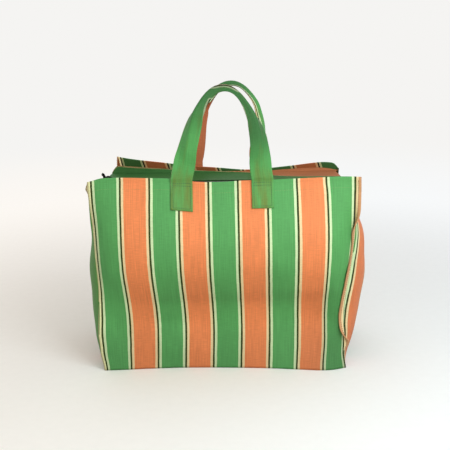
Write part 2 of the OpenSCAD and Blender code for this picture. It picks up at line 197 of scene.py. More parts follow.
class NodeBench:
    """Adds and wires the nodes of one material."""

    # Range in which nearly all noise lies.
    NOISE_RANGE = (0.3, 0.7)

    def __init__(self, name: str) -> None:
        """Start a material that has only its shader and its output.

        Args:
            name: Name of the material.
        """
        self.material = bpy.data.materials.new(name)
        self.material.use_nodes = True
        self.tree = self.material.node_tree
        self.shader = self.tree.nodes["Principled BSDF"]

    def node(self, kind: str, **settings: object) -> bpy.types.Node:
        """Add a node with the given settings.

        Args:
            kind: Kind of node.
            settings: Its settings by name.

        Returns:
            The node.
        """
        made = self.tree.nodes.new(kind)
        for key, value in settings.items():
            setattr(made, key, value)
        return made

    def feed(self, socket: Socket, value: object) -> None:
        """Link a socket to another one, or set its plain value.

        Args:
            socket: The socket.
            value: Another socket, or a plain value.
        """
        if isinstance(value, bpy.types.NodeSocket):
            self.tree.links.new(value, socket)
        else:
            socket.default_value = value

    def math(self, operation: str, *values: object) -> Socket:
        """Add a Math node.

        Args:
            operation: What it works out.
            values: Sockets or numbers to work on.

        Returns:
            Its result.
        """
        made = self.node("ShaderNodeMath", operation=operation)
        for socket, value in zip(made.inputs, values):
            self.feed(socket, value)
        return made.outputs[0]

    def apart(self, value: object, other: object) -> Socket:
        """Distance between two values."""
        return self.math("ABSOLUTE", self.math("SUBTRACT", value, other))

    def mix(self, share: object, first: object, second: object) -> Socket:
        """Mix two colours.

        Args:
            share: Share of the second colour.
            first: First colour.
            second: Second colour.

        Returns:
            The mixed colour.
        """
        made = self.node("ShaderNodeMix", data_type="RGBA")
        for index, value in ((0, share), (6, first), (7, second)):
            self.feed(made.inputs[index], value)
        return made.outputs[2]

    def ranged(self, value: object, source: Flat, target: Flat, kind: str = "SMOOTHSTEP") -> Socket:
        """Map a value from one range to another.

        Args:
            value: The value.
            source: The range that the value comes from.
            target: The range that it is mapped to.
            kind: The kind of step from one end to the other.

        Returns:
            The mapped value, which stays in the target's range.
        """
        made = self.node("ShaderNodeMapRange", interpolation_type=kind)
        for name, number in zip(("From Min", "From Max", "To Min", "To Max"), source + target):
            made.inputs[name].default_value = number
        self.feed(made.inputs["Value"], value)
        return made.outputs["Result"]

    def spread(self, value: object, low: float, high: float) -> Socket:
        """Map noise to the range low to high."""
        return self.ranged(value, self.NOISE_RANGE, (low, high), "LINEAR")

    def noise(self, vector: object, scale: Scale, detail: float) -> Socket:
        """Read noise at a place that is scaled along its three axes.

        Args:
            vector: The place.
            scale: Its factors along the axes.
            detail: Number of finer layers of noise.

        Returns:
            The noise.
        """
        scaled = self.node("ShaderNodeVectorMath", operation="MULTIPLY")
        self.feed(scaled.inputs[0], vector)
        scaled.inputs[1].default_value = scale
        made = self.node("ShaderNodeTexNoise")
        made.inputs["Scale"].default_value = 1.0
        made.inputs["Detail"].default_value = detail
        self.feed(made.inputs["Vector"], scaled.outputs[0])
        return made.outputs[0]

    def shaded(self, colour: object, value: object) -> Socket:
        """Make a colour lighter or darker by a factor.

        Args:
            colour: The colour.
            value: The factor.

        Returns:
            The new colour.
        """
        made = self.node("ShaderNodeHueSaturation")
        self.feed(made.inputs["Color"], colour)
        self.feed(made.inputs["Value"], value)
        return made.outputs["Color"]

    def paint(self, colour: object, roughness: object) -> None:
        """Give the shader its colour and its roughness."""
        self.feed(self.shader.inputs["Base Color"], colour)
        self.feed(self.shader.inputs["Roughness"], roughness)

    def bump(self, height: object, distance: float, strength: float) -> None:
        """Raise the surface by a height.

        Args:
            height: The height.
            distance: Rise of the surface for a height of 1.
            strength: How strongly the rise shows.
        """
        made = self.node("ShaderNodeBump")
        made.inputs["Distance"].default_value = distance
        made.inputs["Strength"].default_value = strength
        self.feed(made.inputs["Height"], height)
        self.feed(self.shader.inputs["Normal"], made.outputs["Normal"])

    def uv(self, layer: str) -> Socket:
        """Read one of the piece's own maps."""
        return self.node("ShaderNodeUVMap", uv_map=layer).outputs["UV"]

    def parts(self, vector: object) -> tuple[Socket, Socket]:
        """Split a vector.

        Args:
            vector: The vector.

        Returns:
            Its first two parts.
        """
        made = self.node("ShaderNodeSeparateXYZ")
        self.feed(made.inputs[0], vector)
        return made.outputs[0], made.outputs[1]

    def object_place(self) -> Socket:
        """Read the place on the piece."""
        return self.node("ShaderNodeTexCoord").outputs["Object"]

    def seen_directly(self) -> Socket:
        """Tell whether a ray sees the surface directly, in a mirror or through glass."""
        return add_seen_directly(self.tree)

    def set_shader(self, **values: float) -> None:
        """Set plain values on the shader, with spaces in names written as underscores."""
        for key, value in values.items():
            self.shader.inputs[key.replace("_", " ")].default_value = value


def add_seen_directly(tree: bpy.types.NodeTree) -> Socket:
    """Add nodes that tell whether a ray sees the background directly, in a mirror or through glass.

    Args:
        tree: The nodes of the floor or of the world.

    Returns:
        The result, 1 for such a ray and 0 for light that bounces.
    """
    rays = tree.nodes.new("ShaderNodeLightPath")
    total = rays.outputs["Is Camera Ray"]
    for name in ("Is Glossy Ray", "Is Transmission Ray"):
        made = tree.nodes.new("ShaderNodeMath")
        made.operation = "MAXIMUM"
        tree.links.new(total, made.inputs[0])
        tree.links.new(rays.outputs[name], made.inputs[1])
        total = made.outputs[0]
    return total


@dataclass(frozen=True)
class WovenSurface:
    """Threads of a plain weave: streaks along the yarn, slubs across it, and the weave's relief."""

    thread: float = 0.0009
    streak: float = 0.12
    streak_scale: Scale = (700.0, 16.0, 1.0)
    streak_relief: float = 1.2
    slub: float = 0.08
    slub_scale: Scale = (70.0, 900.0, 1.0)
    fade: float = 0.05
    fade_scale: Scale = (16.0, 9.0, 1.0)
    relief: float = 0.00025
    relief_strength: float = 0.35
    rough_by: float = 0.06

    def dress(self, bench: NodeBench, colour: object, roughness: float) -> None:
        """Give a material its threads.

        Args:
            bench: The material's nodes.
            colour: The colour of the cloth before its threads show.
            roughness: The mean roughness of the cloth.
        """
        yarn = bench.uv(YARN_MAP)
        across, along = bench.parts(yarn)
        streaks = bench.noise(yarn, self.streak_scale, detail=3.0)
        slubs = bench.noise(yarn, self.slub_scale, detail=2.0)
        fades = bench.noise(yarn, self.fade_scale, detail=2.0)
        value = bench.spread(streaks, 1 - self.streak, 1 + self.streak)
        for marks, share in ((slubs, self.slub), (fades, self.fade)):
            value = bench.math("MULTIPLY", value, bench.spread(marks, 1 - share, 1 + share))
        rough = bench.spread(slubs, roughness - self.rough_by, roughness + self.rough_by)
        bench.paint(bench.shaded(colour, value), rough)
        turn = math.pi / self.thread
        warp = bench.math("SINE", bench.math("MULTIPLY", across, turn))
        weft = bench.math("SINE", bench.math("MULTIPLY", along, turn))
        weave = bench.math("MULTIPLY", warp, weft)
        height = bench.math("MULTIPLY_ADD", streaks, self.streak_relief, weave)
        bench.bump(height, self.relief, self.relief_strength)


@dataclass(frozen=True)
class StripedCloth:
    """Green and orange bands between groups of a dark line with a cream line at each side."""

    name: str = "striped_cloth"
    green: Colour = srgb(88, 162, 90)
    orange: Colour = srgb(240, 140, 85)
    cream_by_green: Colour = srgb(212, 234, 182)
    cream_by_orange: Colour = srgb(242, 218, 166)
    black: Colour = srgb(44, 60, 0)
    # Cream outside the first line. The wall's is a tone between the two creams, made lighter as
    # painted light on its left edge.
    lit_edge_cream: Colour = srgb(242, 218, 166)
    roughness: float = 0.58
    waver: float = 0.0002
    waver_scale: Scale = (90.0, 60.0, 1.0)
    black_half: float = BLACK_HALF
    group_half: float = GROUP_HALF
    sheen: float = 0.05
    sheen_roughness: float = 0.45
    gloss: float = 0.25
    stain: Colour = srgb(112, 128, 56)
    stain_share: float = 0.0
    stain_scale: Scale = (80.0, 15.0, 1.0)
    # Painted shade: darker towards the cloth's foot and towards its lower right corner.
    foot_shade: float = 0.0
    foot_shade_height: float = 0.14
    corner_shade: float = 0.0
    corner: Flat = (0.10, 0.21)
    strap_middle: float = 0.2645
    # Painted shade over the upper part of a strap's loop, darkest near the strap's middle.
    apex_shade: float = 0.0
    apex_shade_shift: float = 0.0
    apex_shade_reach: Flat = (0.0, 0.13)
    end_stain: float = 0.0
    end_reach: Flat = (0.17, 0.215)

    def shade_foot_and_corner(self, bench: NodeBench, colour: Socket) -> Socket:
        """Paint shade on the cloth towards its foot and its lower right corner.

        Args:
            bench: The material's nodes.
            colour: The colour of the cloth before its painted shade.

        Returns:
            The colour with its painted shade.
        """
        across, height = bench.parts(bench.uv(YARN_MAP))
        rise = bench.ranged(height, (0.0, self.foot_shade_height), (1 - self.foot_shade, 1.0))
        colour = bench.shaded(colour, rise)
        if not self.corner_shade:
            return colour
        aside = bench.ranged(across, self.corner, (0.0, 1.0))
        low = bench.ranged(height, self.corner, (self.corner_shade, 0.0))
        dark = bench.math("MULTIPLY", aside, low)
        return bench.shaded(colour, bench.math("SUBTRACT", 1.0, dark))

    def worn(self, bench: NodeBench, colour: Socket) -> Socket:
        """Stain the threads of a strap, and paint shade over the upper part of its loop.

        Args:
            bench: The material's nodes.
            colour: The colour of the cloth before its stains and painted shade.

        Returns:
            The colour with its stains and painted shade.
        """
        yarn = bench.uv(YARN_MAP)
        _, along = bench.parts(yarn)
        stains = bench.noise(yarn, self.stain_scale, detail=3.0)
        from_middle = bench.apart(along, self.strap_middle)
        from_apex_shade = bench.apart(along, self.strap_middle + self.apex_shade_shift)
        ends = bench.ranged(from_middle, self.end_reach, (0.0, self.end_stain))
        spots = bench.spread(stains, -self.stain_share, self.stain_share)
        colour = bench.mix(bench.math("ADD", spots, ends), colour, self.stain)
        return bench.shaded(colour, bench.ranged(from_apex_shade, self.apex_shade_reach, (1 - self.apex_shade, 1.0)))

    def material(self) -> Material:
        """Make the cloth's material.

        Returns:
            The material, with its stripes on the pattern map and its threads on the yarn map.
        """
        bench = NodeBench(self.name)
        bench.set_shader(
            Sheen_Weight=self.sheen, Sheen_Roughness=self.sheen_roughness,
            Specular_IOR_Level=self.gloss)
        pattern = bench.uv(PATTERN_MAP)
        across, _ = bench.parts(pattern)
        edges = bench.noise(pattern, self.waver_scale, detail=2.0)
        across = bench.math("ADD", across, bench.spread(edges, -self.waver, self.waver))
        place = bench.math("SUBTRACT", across, FIRST_LINE)
        to_line = bench.math("PINGPONG", place, LINE_PITCH / 2)
        band = bench.math("FLOOR", bench.math("DIVIDE", place, LINE_PITCH))
        is_orange = bench.math("FLOORED_MODULO", band, 2.0)
        in_group = bench.math("LESS_THAN", to_line, self.group_half)
        in_black = bench.math("LESS_THAN", to_line, self.black_half)
        outermost = bench.math("LESS_THAN", place, 0.0)
        ground = bench.mix(is_orange, self.green, self.orange)
        # Outside the first line the cream can take a lighter copy, which paints light on the wall's
        # left edge.
        beside_orange = bench.mix(outermost, self.cream_by_orange, self.lit_edge_cream)
        cream = bench.mix(is_orange, self.cream_by_green, beside_orange)
        colour = bench.mix(in_black, bench.mix(in_group, ground, cream), self.black)
        # Painted shade towards the foot and the lower right corner.
        if self.foot_shade:
            colour = self.shade_foot_and_corner(bench, colour)
        # Stains, and painted shade over the upper part of a strap's loop.
        if self.stain_share or self.apex_shade:
            colour = self.worn(bench, colour)
        WovenSurface().dress(bench, colour, self.roughness)
        return bench.material


@dataclass(frozen=True)
class PlainCloth:
    """Woven cloth of one yarn colour."""

    name: str
    colour: Colour
    roughness: float = 0.65
    sheen: float = 0.1
    gloss: float = 0.3

    def material(self) -> Material:
        """Make the cloth's material.

        Returns:
            The material, with its threads on the yarn map.
        """
        bench = NodeBench(self.name)
        bench.set_shader(Sheen_Weight=self.sheen, Specular_IOR_Level=self.gloss)
        WovenSurface().dress(bench, self.colour, self.roughness)
        return bench.material


@dataclass(frozen=True)
class SewingThread:
    """Twisted thread, a little lighter and darker along its length."""

    name: str
    colour: Colour
    roughness: float = 0.5
    sheen: float = 0.15
    twist_scale: Scale = (2500.0, 2500.0, 2500.0)
    tone_scale: Scale = (120.0, 120.0, 120.0)
    twist_depth: float = 0.0002
    twist_light: Flat = (0.9, 1.1)
    tone_light: Flat = (0.92, 1.08)
    smoother: float = 0.05
    rougher: float = 0.1
    relief: float = 0.5

    def material(self) -> Material:
        """Make the thread's material on the piece's own places.

        Returns:
            The material.
        """
        bench = NodeBench(self.name)
        bench.set_shader(Sheen_Weight=self.sheen)
        place = bench.object_place()
        twist = bench.noise(place, self.twist_scale, detail=1.0)
        tone = bench.noise(place, self.tone_scale, detail=2.0)
        light = bench.spread(tone, *self.tone_light)
        value = bench.math("MULTIPLY", bench.spread(twist, *self.twist_light), light)
        rough = bench.spread(tone, self.roughness - self.smoother, self.roughness + self.rougher)
        bench.paint(bench.shaded(self.colour, value), rough)
        bench.bump(twist, self.twist_depth, self.relief)
        return bench.material


@dataclass(frozen=True)
class HardFinish:
    """Moulded plastic or plated metal, with fine scuffs."""

    name: str
    colour: Colour
    worn: Colour
    metallic: float
    roughness: float
    scuff_scale: Scale = (900.0, 2600.0, 900.0)
    patch_scale: Scale = (260.0, 260.0, 260.0)
    scuff_depth: float = 0.00004
    wear: Flat = (-0.25, 0.6)
    smoother: float = 0.1
    rougher: float = 0.12
    relief: float = 0.4

    def material(self) -> Material:
        """Make the finish on the piece's own places.

        Returns:
            The material.
        """
        bench = NodeBench(self.name)
        bench.set_shader(Metallic=self.metallic)
        place = bench.object_place()
        scuffs = bench.noise(place, self.scuff_scale, detail=4.0)
        patches = bench.noise(place, self.patch_scale, detail=3.0)
        colour = bench.mix(bench.spread(patches, *self.wear), self.colour, self.worn)
        rough = bench.spread(scuffs, self.roughness - self.smoother, self.roughness + self.rougher)
        bench.paint(colour, rough)
        bench.bump(scuffs, self.scuff_depth, self.relief)
        return bench.material


class Finish:
    """The finishes of the bag, each made once."""

    def __init__(self) -> None:
        """Make every material of the bag."""
        # The cloth of the walls and base, with painted shade towards the foot and the lower right
        # corner.
        self.stripes = StripedCloth(
            # Painted light on the cream at the wall's left edge.
            foot_shade=0.26, corner_shade=0.24, lit_edge_cream=srgb(250, 248, 190)).material()
        # A darker, deeper copy of the cloth for the gussets: painted shade on the sides, with more
        # painted shade towards the foot.
        self.side = StripedCloth(
            "shaded_side_cloth", srgb(88, 146, 72), srgb(222, 128, 80), foot_shade=0.2).material()
        # Darker copies of the cloth for the facings and the zip bands: painted shade inside the
        # mouth.
        self.inside = StripedCloth(
            "shaded_inside_cloth", srgb(50, 84, 40), srgb(143, 80, 44), srgb(150, 152, 106),
            srgb(172, 132, 90), srgb(30, 28, 14), sheen=0.0, gloss=0.1).material()
        self.band = StripedCloth(
            "shaded_band_cloth", srgb(63, 110, 58), srgb(170, 106, 70), srgb(190, 172, 122),
            srgb(200, 156, 108), black_half=0.0004, group_half=0.0013, sheen=0.0,
            gloss=0.06).material()
        self.seam = StripedCloth("seam_cloth", orange=srgb(206, 152, 108)).material()
        # A paler copy of the seam cloth for the front wall's left seam: painted light on a seam
        # that turns away from the lamps.
        self.lit_seam = StripedCloth("lit_seam_cloth", orange=srgb(192, 186, 146)).material()
        # The straps carry stains and painted shade over the upper part of their loops.
        self.strap = StripedCloth(
            "strap_cloth", srgb(88, 167, 89), stain_share=0.42, end_stain=0.48,
            apex_shade=0.58, apex_shade_shift=0.03, apex_shade_reach=(0.09, 0.17)).material()
        self.back_strap = StripedCloth(
            "back_strap_cloth", srgb(88, 167, 89), stain_share=0.42, end_stain=0.48,
            apex_shade=0.58).material()
        self.strap_back = PlainCloth("strap_back_cloth", srgb(186, 104, 64)).material()
        self.tape = PlainCloth("zip_tape_cloth", srgb(9, 9, 8), 0.85, 0.0, 0.05).material()
        self.green_thread = SewingThread("green_thread", srgb(50, 104, 50)).material()
        self.tan_thread = SewingThread("tan_thread", srgb(150, 150, 90)).material()
        self.brown_thread = SewingThread("brown_thread", srgb(150, 90, 52)).material()
        self.teeth = HardFinish(
            "zip_teeth_plastic", srgb(26, 25, 24), srgb(58, 56, 54), 0.0, 0.42).material()
        self.metal = HardFinish(
            "zip_plated_metal", srgb(70, 66, 60), srgb(150, 142, 128), 1.0, 0.34).material()


def add_object(name: str, shape: Shape, materials: Iterable[Material],
               angle: Optional[float] = None) -> Piece:
    """Turn a bmesh into a smooth object of the scene.

    Args:
        name: Name of the piece.
        shape: The bmesh, which is freed.
        materials: The piece's materials, in slot order.
        angle: Angle past which an edge stays sharp, or None for an all-smooth piece.

    Returns:
        The new object.
    """
    mesh = bpy.data.meshes.new(name)
    shape.to_mesh(mesh)
    shape.free()
    mesh.polygons.foreach_set("use_smooth", [True] * len(mesh.polygons))
    if angle is not None:
        mesh.set_sharp_from_angle(angle=angle)
    for material in materials:
        mesh.materials.append(material)
    made = bpy.data.objects.new(name, mesh)
    bpy.context.scene.collection.objects.link(made)
    return made


def attach(piece: Piece, body: str, slot: str, node: str) -> Piece:
    """Let a piece ride on a body and stand for a node.

    Args:
        piece: The piece.
        body: The body that it rides on.
        slot: Not used.
        node: The node that it stands for.

    Returns:
        The piece.
    """
    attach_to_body(piece, body)
    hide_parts(node)
    return piece


def thicken(piece: Piece, thickness: float, offset: float, back: int = 0) -> None:
    """Give a sheet its thickness.

    Args:
        piece: The sheet.
        thickness: Thickness of the cloth.
        offset: -1 to grow behind the sheet, 0 to both sides, 1 in front.
        back: Number of material slots that the back lies past the front.
    """
    made = piece.modifiers.new("cloth_thickness", "SOLIDIFY")
    made.thickness = thickness
    made.offset = offset
    made.material_offset = back


def cloth_grid(name: str, columns: int, rows: int, place: Place, yarn: FlatPlace,
               pattern: FlatPlace, materials: Iterable[Material]) -> Piece:
    """Lay a grid of cloth over a surface.

    Args:
        name: Name of the piece.
        columns: Number of faces across.
        rows: Number of faces along.
        place: The place of a point, by its shares across and along the grid.
        yarn: The point's place on the flat cloth, in metres.
        pattern: The point's place in the striped pattern, in metres.
        materials: The piece's materials.

    Returns:
        The new piece.
    """
    shape = bmesh.new()
    bmesh.ops.create_grid(shape, x_segments=columns, y_segments=rows, size=1.0)
    pattern_map = shape.loops.layers.uv.new(PATTERN_MAP)
    yarn_map = shape.loops.layers.uv.new(YARN_MAP)
    shares = {vert: ((vert.co.x + 1) / 2, (vert.co.y + 1) / 2) for vert in shape.verts}
    for grid_face in shape.faces:
        for loop in grid_face.loops:
            share = shares[loop.vert]
            loop[pattern_map].uv = pattern(*share)
            loop[yarn_map].uv = yarn(*share)
    for vert, share in shares.items():
        vert.co = place(*share)
    return add_object(name, shape, materials)


def add_stitch(shape: Shape, start: Vector, end: Vector, normal: Vector, width: float) -> None:
    """Add one stitch, as a long drop of thread that dips into the cloth at both ends.

    Args:
        shape: The bmesh that takes the stitch.
        start: Its first needle hole.
        end: Its second needle hole.
        normal: The way that the cloth faces.
        width: Thickness of the thread.
    """
    along = (end - start) / 2
    aside = along.cross(normal).normalized() * width / 2
    up = normal.normalized() * width / 2
    turn = Matrix((along, aside, up)).transposed().to_4x4()
    turn.translation = (start + end) / 2
    lie = turn @ Matrix.Rotation(math.pi / 2, 4, "Y")
    bmesh.ops.create_uvsphere(shape, u_segments=6, v_segments=4, radius=1.0, matrix=lie)


def sew(shape: Shape, run: Run, length: float, pitch: float = STITCH_PITCH,
        width: float = STITCH_WIDTH) -> None:
    """Sew a run of stitches along a line.

    Args:
        shape: The bmesh that takes the stitches.
        run: The place and the outward direction at a share of the line.
        length: Length of the line.
        pitch: Distance from one stitch to the next.
        width: Thickness of the thread.
    """
    count = max(1, round(length / pitch))
    for index in range(count):
        start, normal = run((index + (1 - STITCH_FILL) / 2) / count)
        end, _ = run((index + (1 + STITCH_FILL) / 2) / count)
        add_stitch(shape, start, end, normal, width)


@dataclass(frozen=True)
class Sizes:
    """Main sizes of the bag, in metres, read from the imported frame."""

    rim: float
    face_y: float
    cloth: float
    hem: float
    zip_z: float
    band_out: float
    band_in: float
    band_half: float
    travel: float

    @classmethod
    def from_frame(cls) -> "Sizes":
        """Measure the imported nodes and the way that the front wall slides.

        Returns:
            The sizes.
        """
        facing_low, facing_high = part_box("front_facing")
        band_low, band_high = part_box("back_zip_band")
        cloth = facing_high.y - facing_low.y
        fold = next(joint for joint in frame["joints"] if joint["name"] == "fold_flat")
        return cls(
            rim=facing_high.z,
            face_y=cloth - facing_low.y,
            cloth=cloth,
            hem=facing_high.z - facing_low.z,
            zip_z=band_low.z,
            band_out=band_high.y,
            band_in=band_low.y,
            band_half=band_high.x,
            travel=-fold["range_m"][0],
        )

    @property
    def depth(self) -> float:
        """Depth of the bag from wall to wall."""
        return 2 * self.face_y

    @property
    def fold_keep(self) -> float:
        """Share of the depth that is left when the bag is folded flat."""
        return (self.depth - self.travel) / self.depth

    def squash_flat(self, piece: Piece) -> None:
        """Give a piece its own copy of its mesh."""
        self.fold_keep
        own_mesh(piece)


@dataclass(frozen=True)
class WallShape:
    """Outer surface of a front or back wall, as a place for each point of its flat cloth.

    Heights and shifts are in metres. The curves run up the wall, but rim and foot run across it.
    """

    face: Face
    plane_y: float
    height: float
    left_crease: float
    right_crease: float
    bulge: Curve
    sway: Curve
    left_pull: Curve
    right_pull: Curve
    left_out: Curve
    right_out: Curve
    rim: Curve
    foot: Curve
    right_spread: Curve = ((0.0, 0.0), (0.375, 0.0))
    pattern_shift: float = 0.0
    crumple: float = 0.0016

    PULL_FROM = 0.15
    SPREAD_FROM = 0.10
    SPREAD_WIDTH = 0.09
    CORNER_POWER = 8
    FOOT_REACH = 0.12
    SMOOTH_FOOT = 0.04
    RIM_FROM = 0.22
    PROBE = 0.001
    WRINKLES = ((1.0, 11, 16, 3.1), (0.4, 34, 20, 8.7), (0.4, 8, 40, 6.3))

    @property
    def word(self) -> str:
        """Name of the wall."""
        return self.face.word

    @property
    def width(self) -> float:
        """Width of the flat cloth from crease to crease."""
        return self.right_crease - self.left_crease

    def crease(self, side: Side) -> float:
        """Place of a side's crease across the flat cloth."""
        return self.left_crease if side is Side.LEFT else self.right_crease

    def point(self, across: float, height: float) -> Vector:
        """Find where a point of the flat cloth lies.

        Args:
            across: Place across the flat cloth, from its middle.
            height: Place up the flat cloth.

        Returns:
            The place on the wall's outer surface.
        """
        left = across < 0
        crease = self.left_crease if left else self.right_crease
        pull = follow(self.left_pull if left else self.right_pull, height)
        edge = follow(self.left_out if left else self.right_out, height)
        turn = max(0.0, (abs(across) - self.PULL_FROM) / (abs(crease) - self.PULL_FROM)) ** 2
        corner = min(abs(across / crease), 1.0) ** self.CORNER_POWER
        x = across + follow(self.sway, height) + turn * pull
        if not left:
            share = ease((across - self.SPREAD_FROM) / self.SPREAD_WIDTH)
            x += follow(self.right_spread, height) * share
        out = follow(self.bulge, height) * (1 - corner) + edge * corner
        out += follow(self.foot, x) * max(0.0, 1 - height / self.FOOT_REACH) ** 2
        wrinkle = self.crumple * crumpled(self.WRINKLES, across, height, self.face.value)
        out += wrinkle * (1 - corner) * ease(height / self.SMOOTH_FOOT)
        rise = ease((height - self.RIM_FROM) / (self.height - self.RIM_FROM))
        z = height + follow(self.rim, across) * rise
        return Vector((x, self.face.value * (self.plane_y + out), z))

    def normal(self, across: float, height: float) -> Vector:
        """Find the outward direction at a point of the flat cloth.

        Args:
            across: Place across the flat cloth, from its middle.
            height: Place up the flat cloth.

        Returns:
            The direction.
        """
        step = self.PROBE
        aside = self.point(across + step, height) - self.point(across - step, height)
        up = self.point(across, height + step) - self.point(across, height - step)
        return (aside.cross(up) * -self.face.value).normalized()

    def off(self, across: float, height: float, lift: float) -> Vector:
        """A point lifted off the outer surface, or sunk under it."""
        return self.point(across, height) + self.normal(across, height) * lift

    def pattern_at(self, across: float, height: float) -> Flat:
        """Place in the striped pattern."""
        return (across + self.pattern_shift, height)


@dataclass
class WallPanel:
    """One large wall with the facing inside its mouth and the stitched line along it."""

    shape: WallShape
    sizes: Sizes
    finish: Finish
    body: str
    facing_slant: float
    handle_feet: tuple[float, ...]
    columns: int = 112
    rows: int = 88
    facing_columns: int = 96
    facing_rows: int = 8
    facing_inset: float = 0.001
    facing_drop: float = 0.0004
    facing_gap: float = 1.25
    stitch_in: float = 0.004
    stitch_lift: float = 0.0001
    stitch_width: float = 0.0003
    strap_half: float = 0.0215

    def across(self, share: float) -> float:
        """Find a place across the cloth, in the order that makes the wall face outwards.

        Args:
            share: Share of the way.

        Returns:
            The place.
        """
        creases = (self.shape.left_crease, self.shape.right_crease)
        start, end = creases if self.shape.face is Face.FRONT else creases[::-1]
        return between(start, end, share)

    def build(self) -> list[Piece]:
        """Build the wall, its facing and its stitching."""
        return [
            self.build_wall(), self.build_facing(), self.build_stitching()]

    def build_wall(self) -> Piece:
        """Lay the wall's cloth.

        Returns:
            The wall.
        """
        shape = self.shape

        def flat(a: float, b: float) -> Flat:
            """Place on the flat cloth."""
            return (self.across(a), b * shape.height)

        wall = cloth_grid(
            f"{shape.word}_wall", self.columns, self.rows, lambda a, b: shape.point(*flat(a, b)),
            flat, lambda a, b: shape.pattern_at(*flat(a, b)), [self.finish.stripes])
        thicken(wall, self.sizes.cloth, -1.0)
        attach(wall, self.body, "striped_cloth", f"{shape.word}_panel")
        return wall

    def build_facing(self) -> Piece:
        """Lay the strip inside the mouth.

        Returns:
            The facing.
        """
        shape = self.shape
        hem = self.sizes.hem
        start = shape.left_crease + self.facing_inset
        end = shape.right_crease - self.facing_inset
        gap = self.sizes.cloth * self.facing_gap

        def flat(a: float, b: float) -> Flat:
            """Place on the flat cloth, in the order that makes the facing look into the bag."""
            share = 1 - a if shape.face is Face.FRONT else a
            return (between(start, end, share), shape.height - hem * (1 - b))

        def pattern(a: float, b: float) -> Flat:
            """Find a place in the pattern, which runs aslant down the facing.

            Args:
                a: Share across the cloth.
                b: Share along the cloth.

            Returns:
                The place.
            """
            across, height = flat(a, b)
            slant = self.facing_slant * (shape.height - height)
            return (across + shape.pattern_shift - slant, height)

        def place(a: float, b: float) -> Vector:
            """Place on the wall's inner surface."""
            across, height = flat(a, b)
            return shape.off(across, height - self.facing_drop, -gap)

        # The facing takes the darker copy of the cloth: painted shade inside the mouth.
        facing = cloth_grid(
            f"{shape.word}_facing_strip", self.facing_columns, self.facing_rows, place, flat,
            pattern, [self.finish.inside])
        thicken(facing, self.sizes.cloth * LINING_SHARE, 1.0)
        attach(facing, self.body, "striped_cloth", f"{shape.word}_facing")
        f"{shape.word}_wall"
        return facing

    def build_stitching(self) -> Piece:
        """Sew the line that holds the facing, broken at the handle's feet.

        Returns:
            The stitches.
        """
        shape = self.shape
        height = shape.height - self.sizes.hem + self.stitch_in
        stops = [shape.left_crease + 2 * self.stitch_in]
        for foot in self.handle_feet:
            stops += [foot - self.strap_half, foot + self.strap_half]
        stops.append(shape.right_crease - 2 * self.stitch_in)
        thread = bmesh.new()
        for start, end in zip(stops[::2], stops[1::2]):

            def run(share: float, start: float = start, end: float = end) -> Aimed:
                """Follow this run of stitches.

                Args:
                    share: Share of the run.
                    start: Its start across the cloth.
                    end: Its end across the cloth.

                Returns:
                    The place and the outward direction.
                """
                across = between(start, end, share)
                place = shape.off(across, height, self.stitch_lift)
                return place, shape.normal(across, height)

            sew(thread, run, end - start, width=self.stitch_width)
        made = add_object(f"{shape.word}_rim_stitches", thread, [self.finish.tan_thread])
        return attach(made, self.body, "thread", f"{shape.word}_rim_stitching")


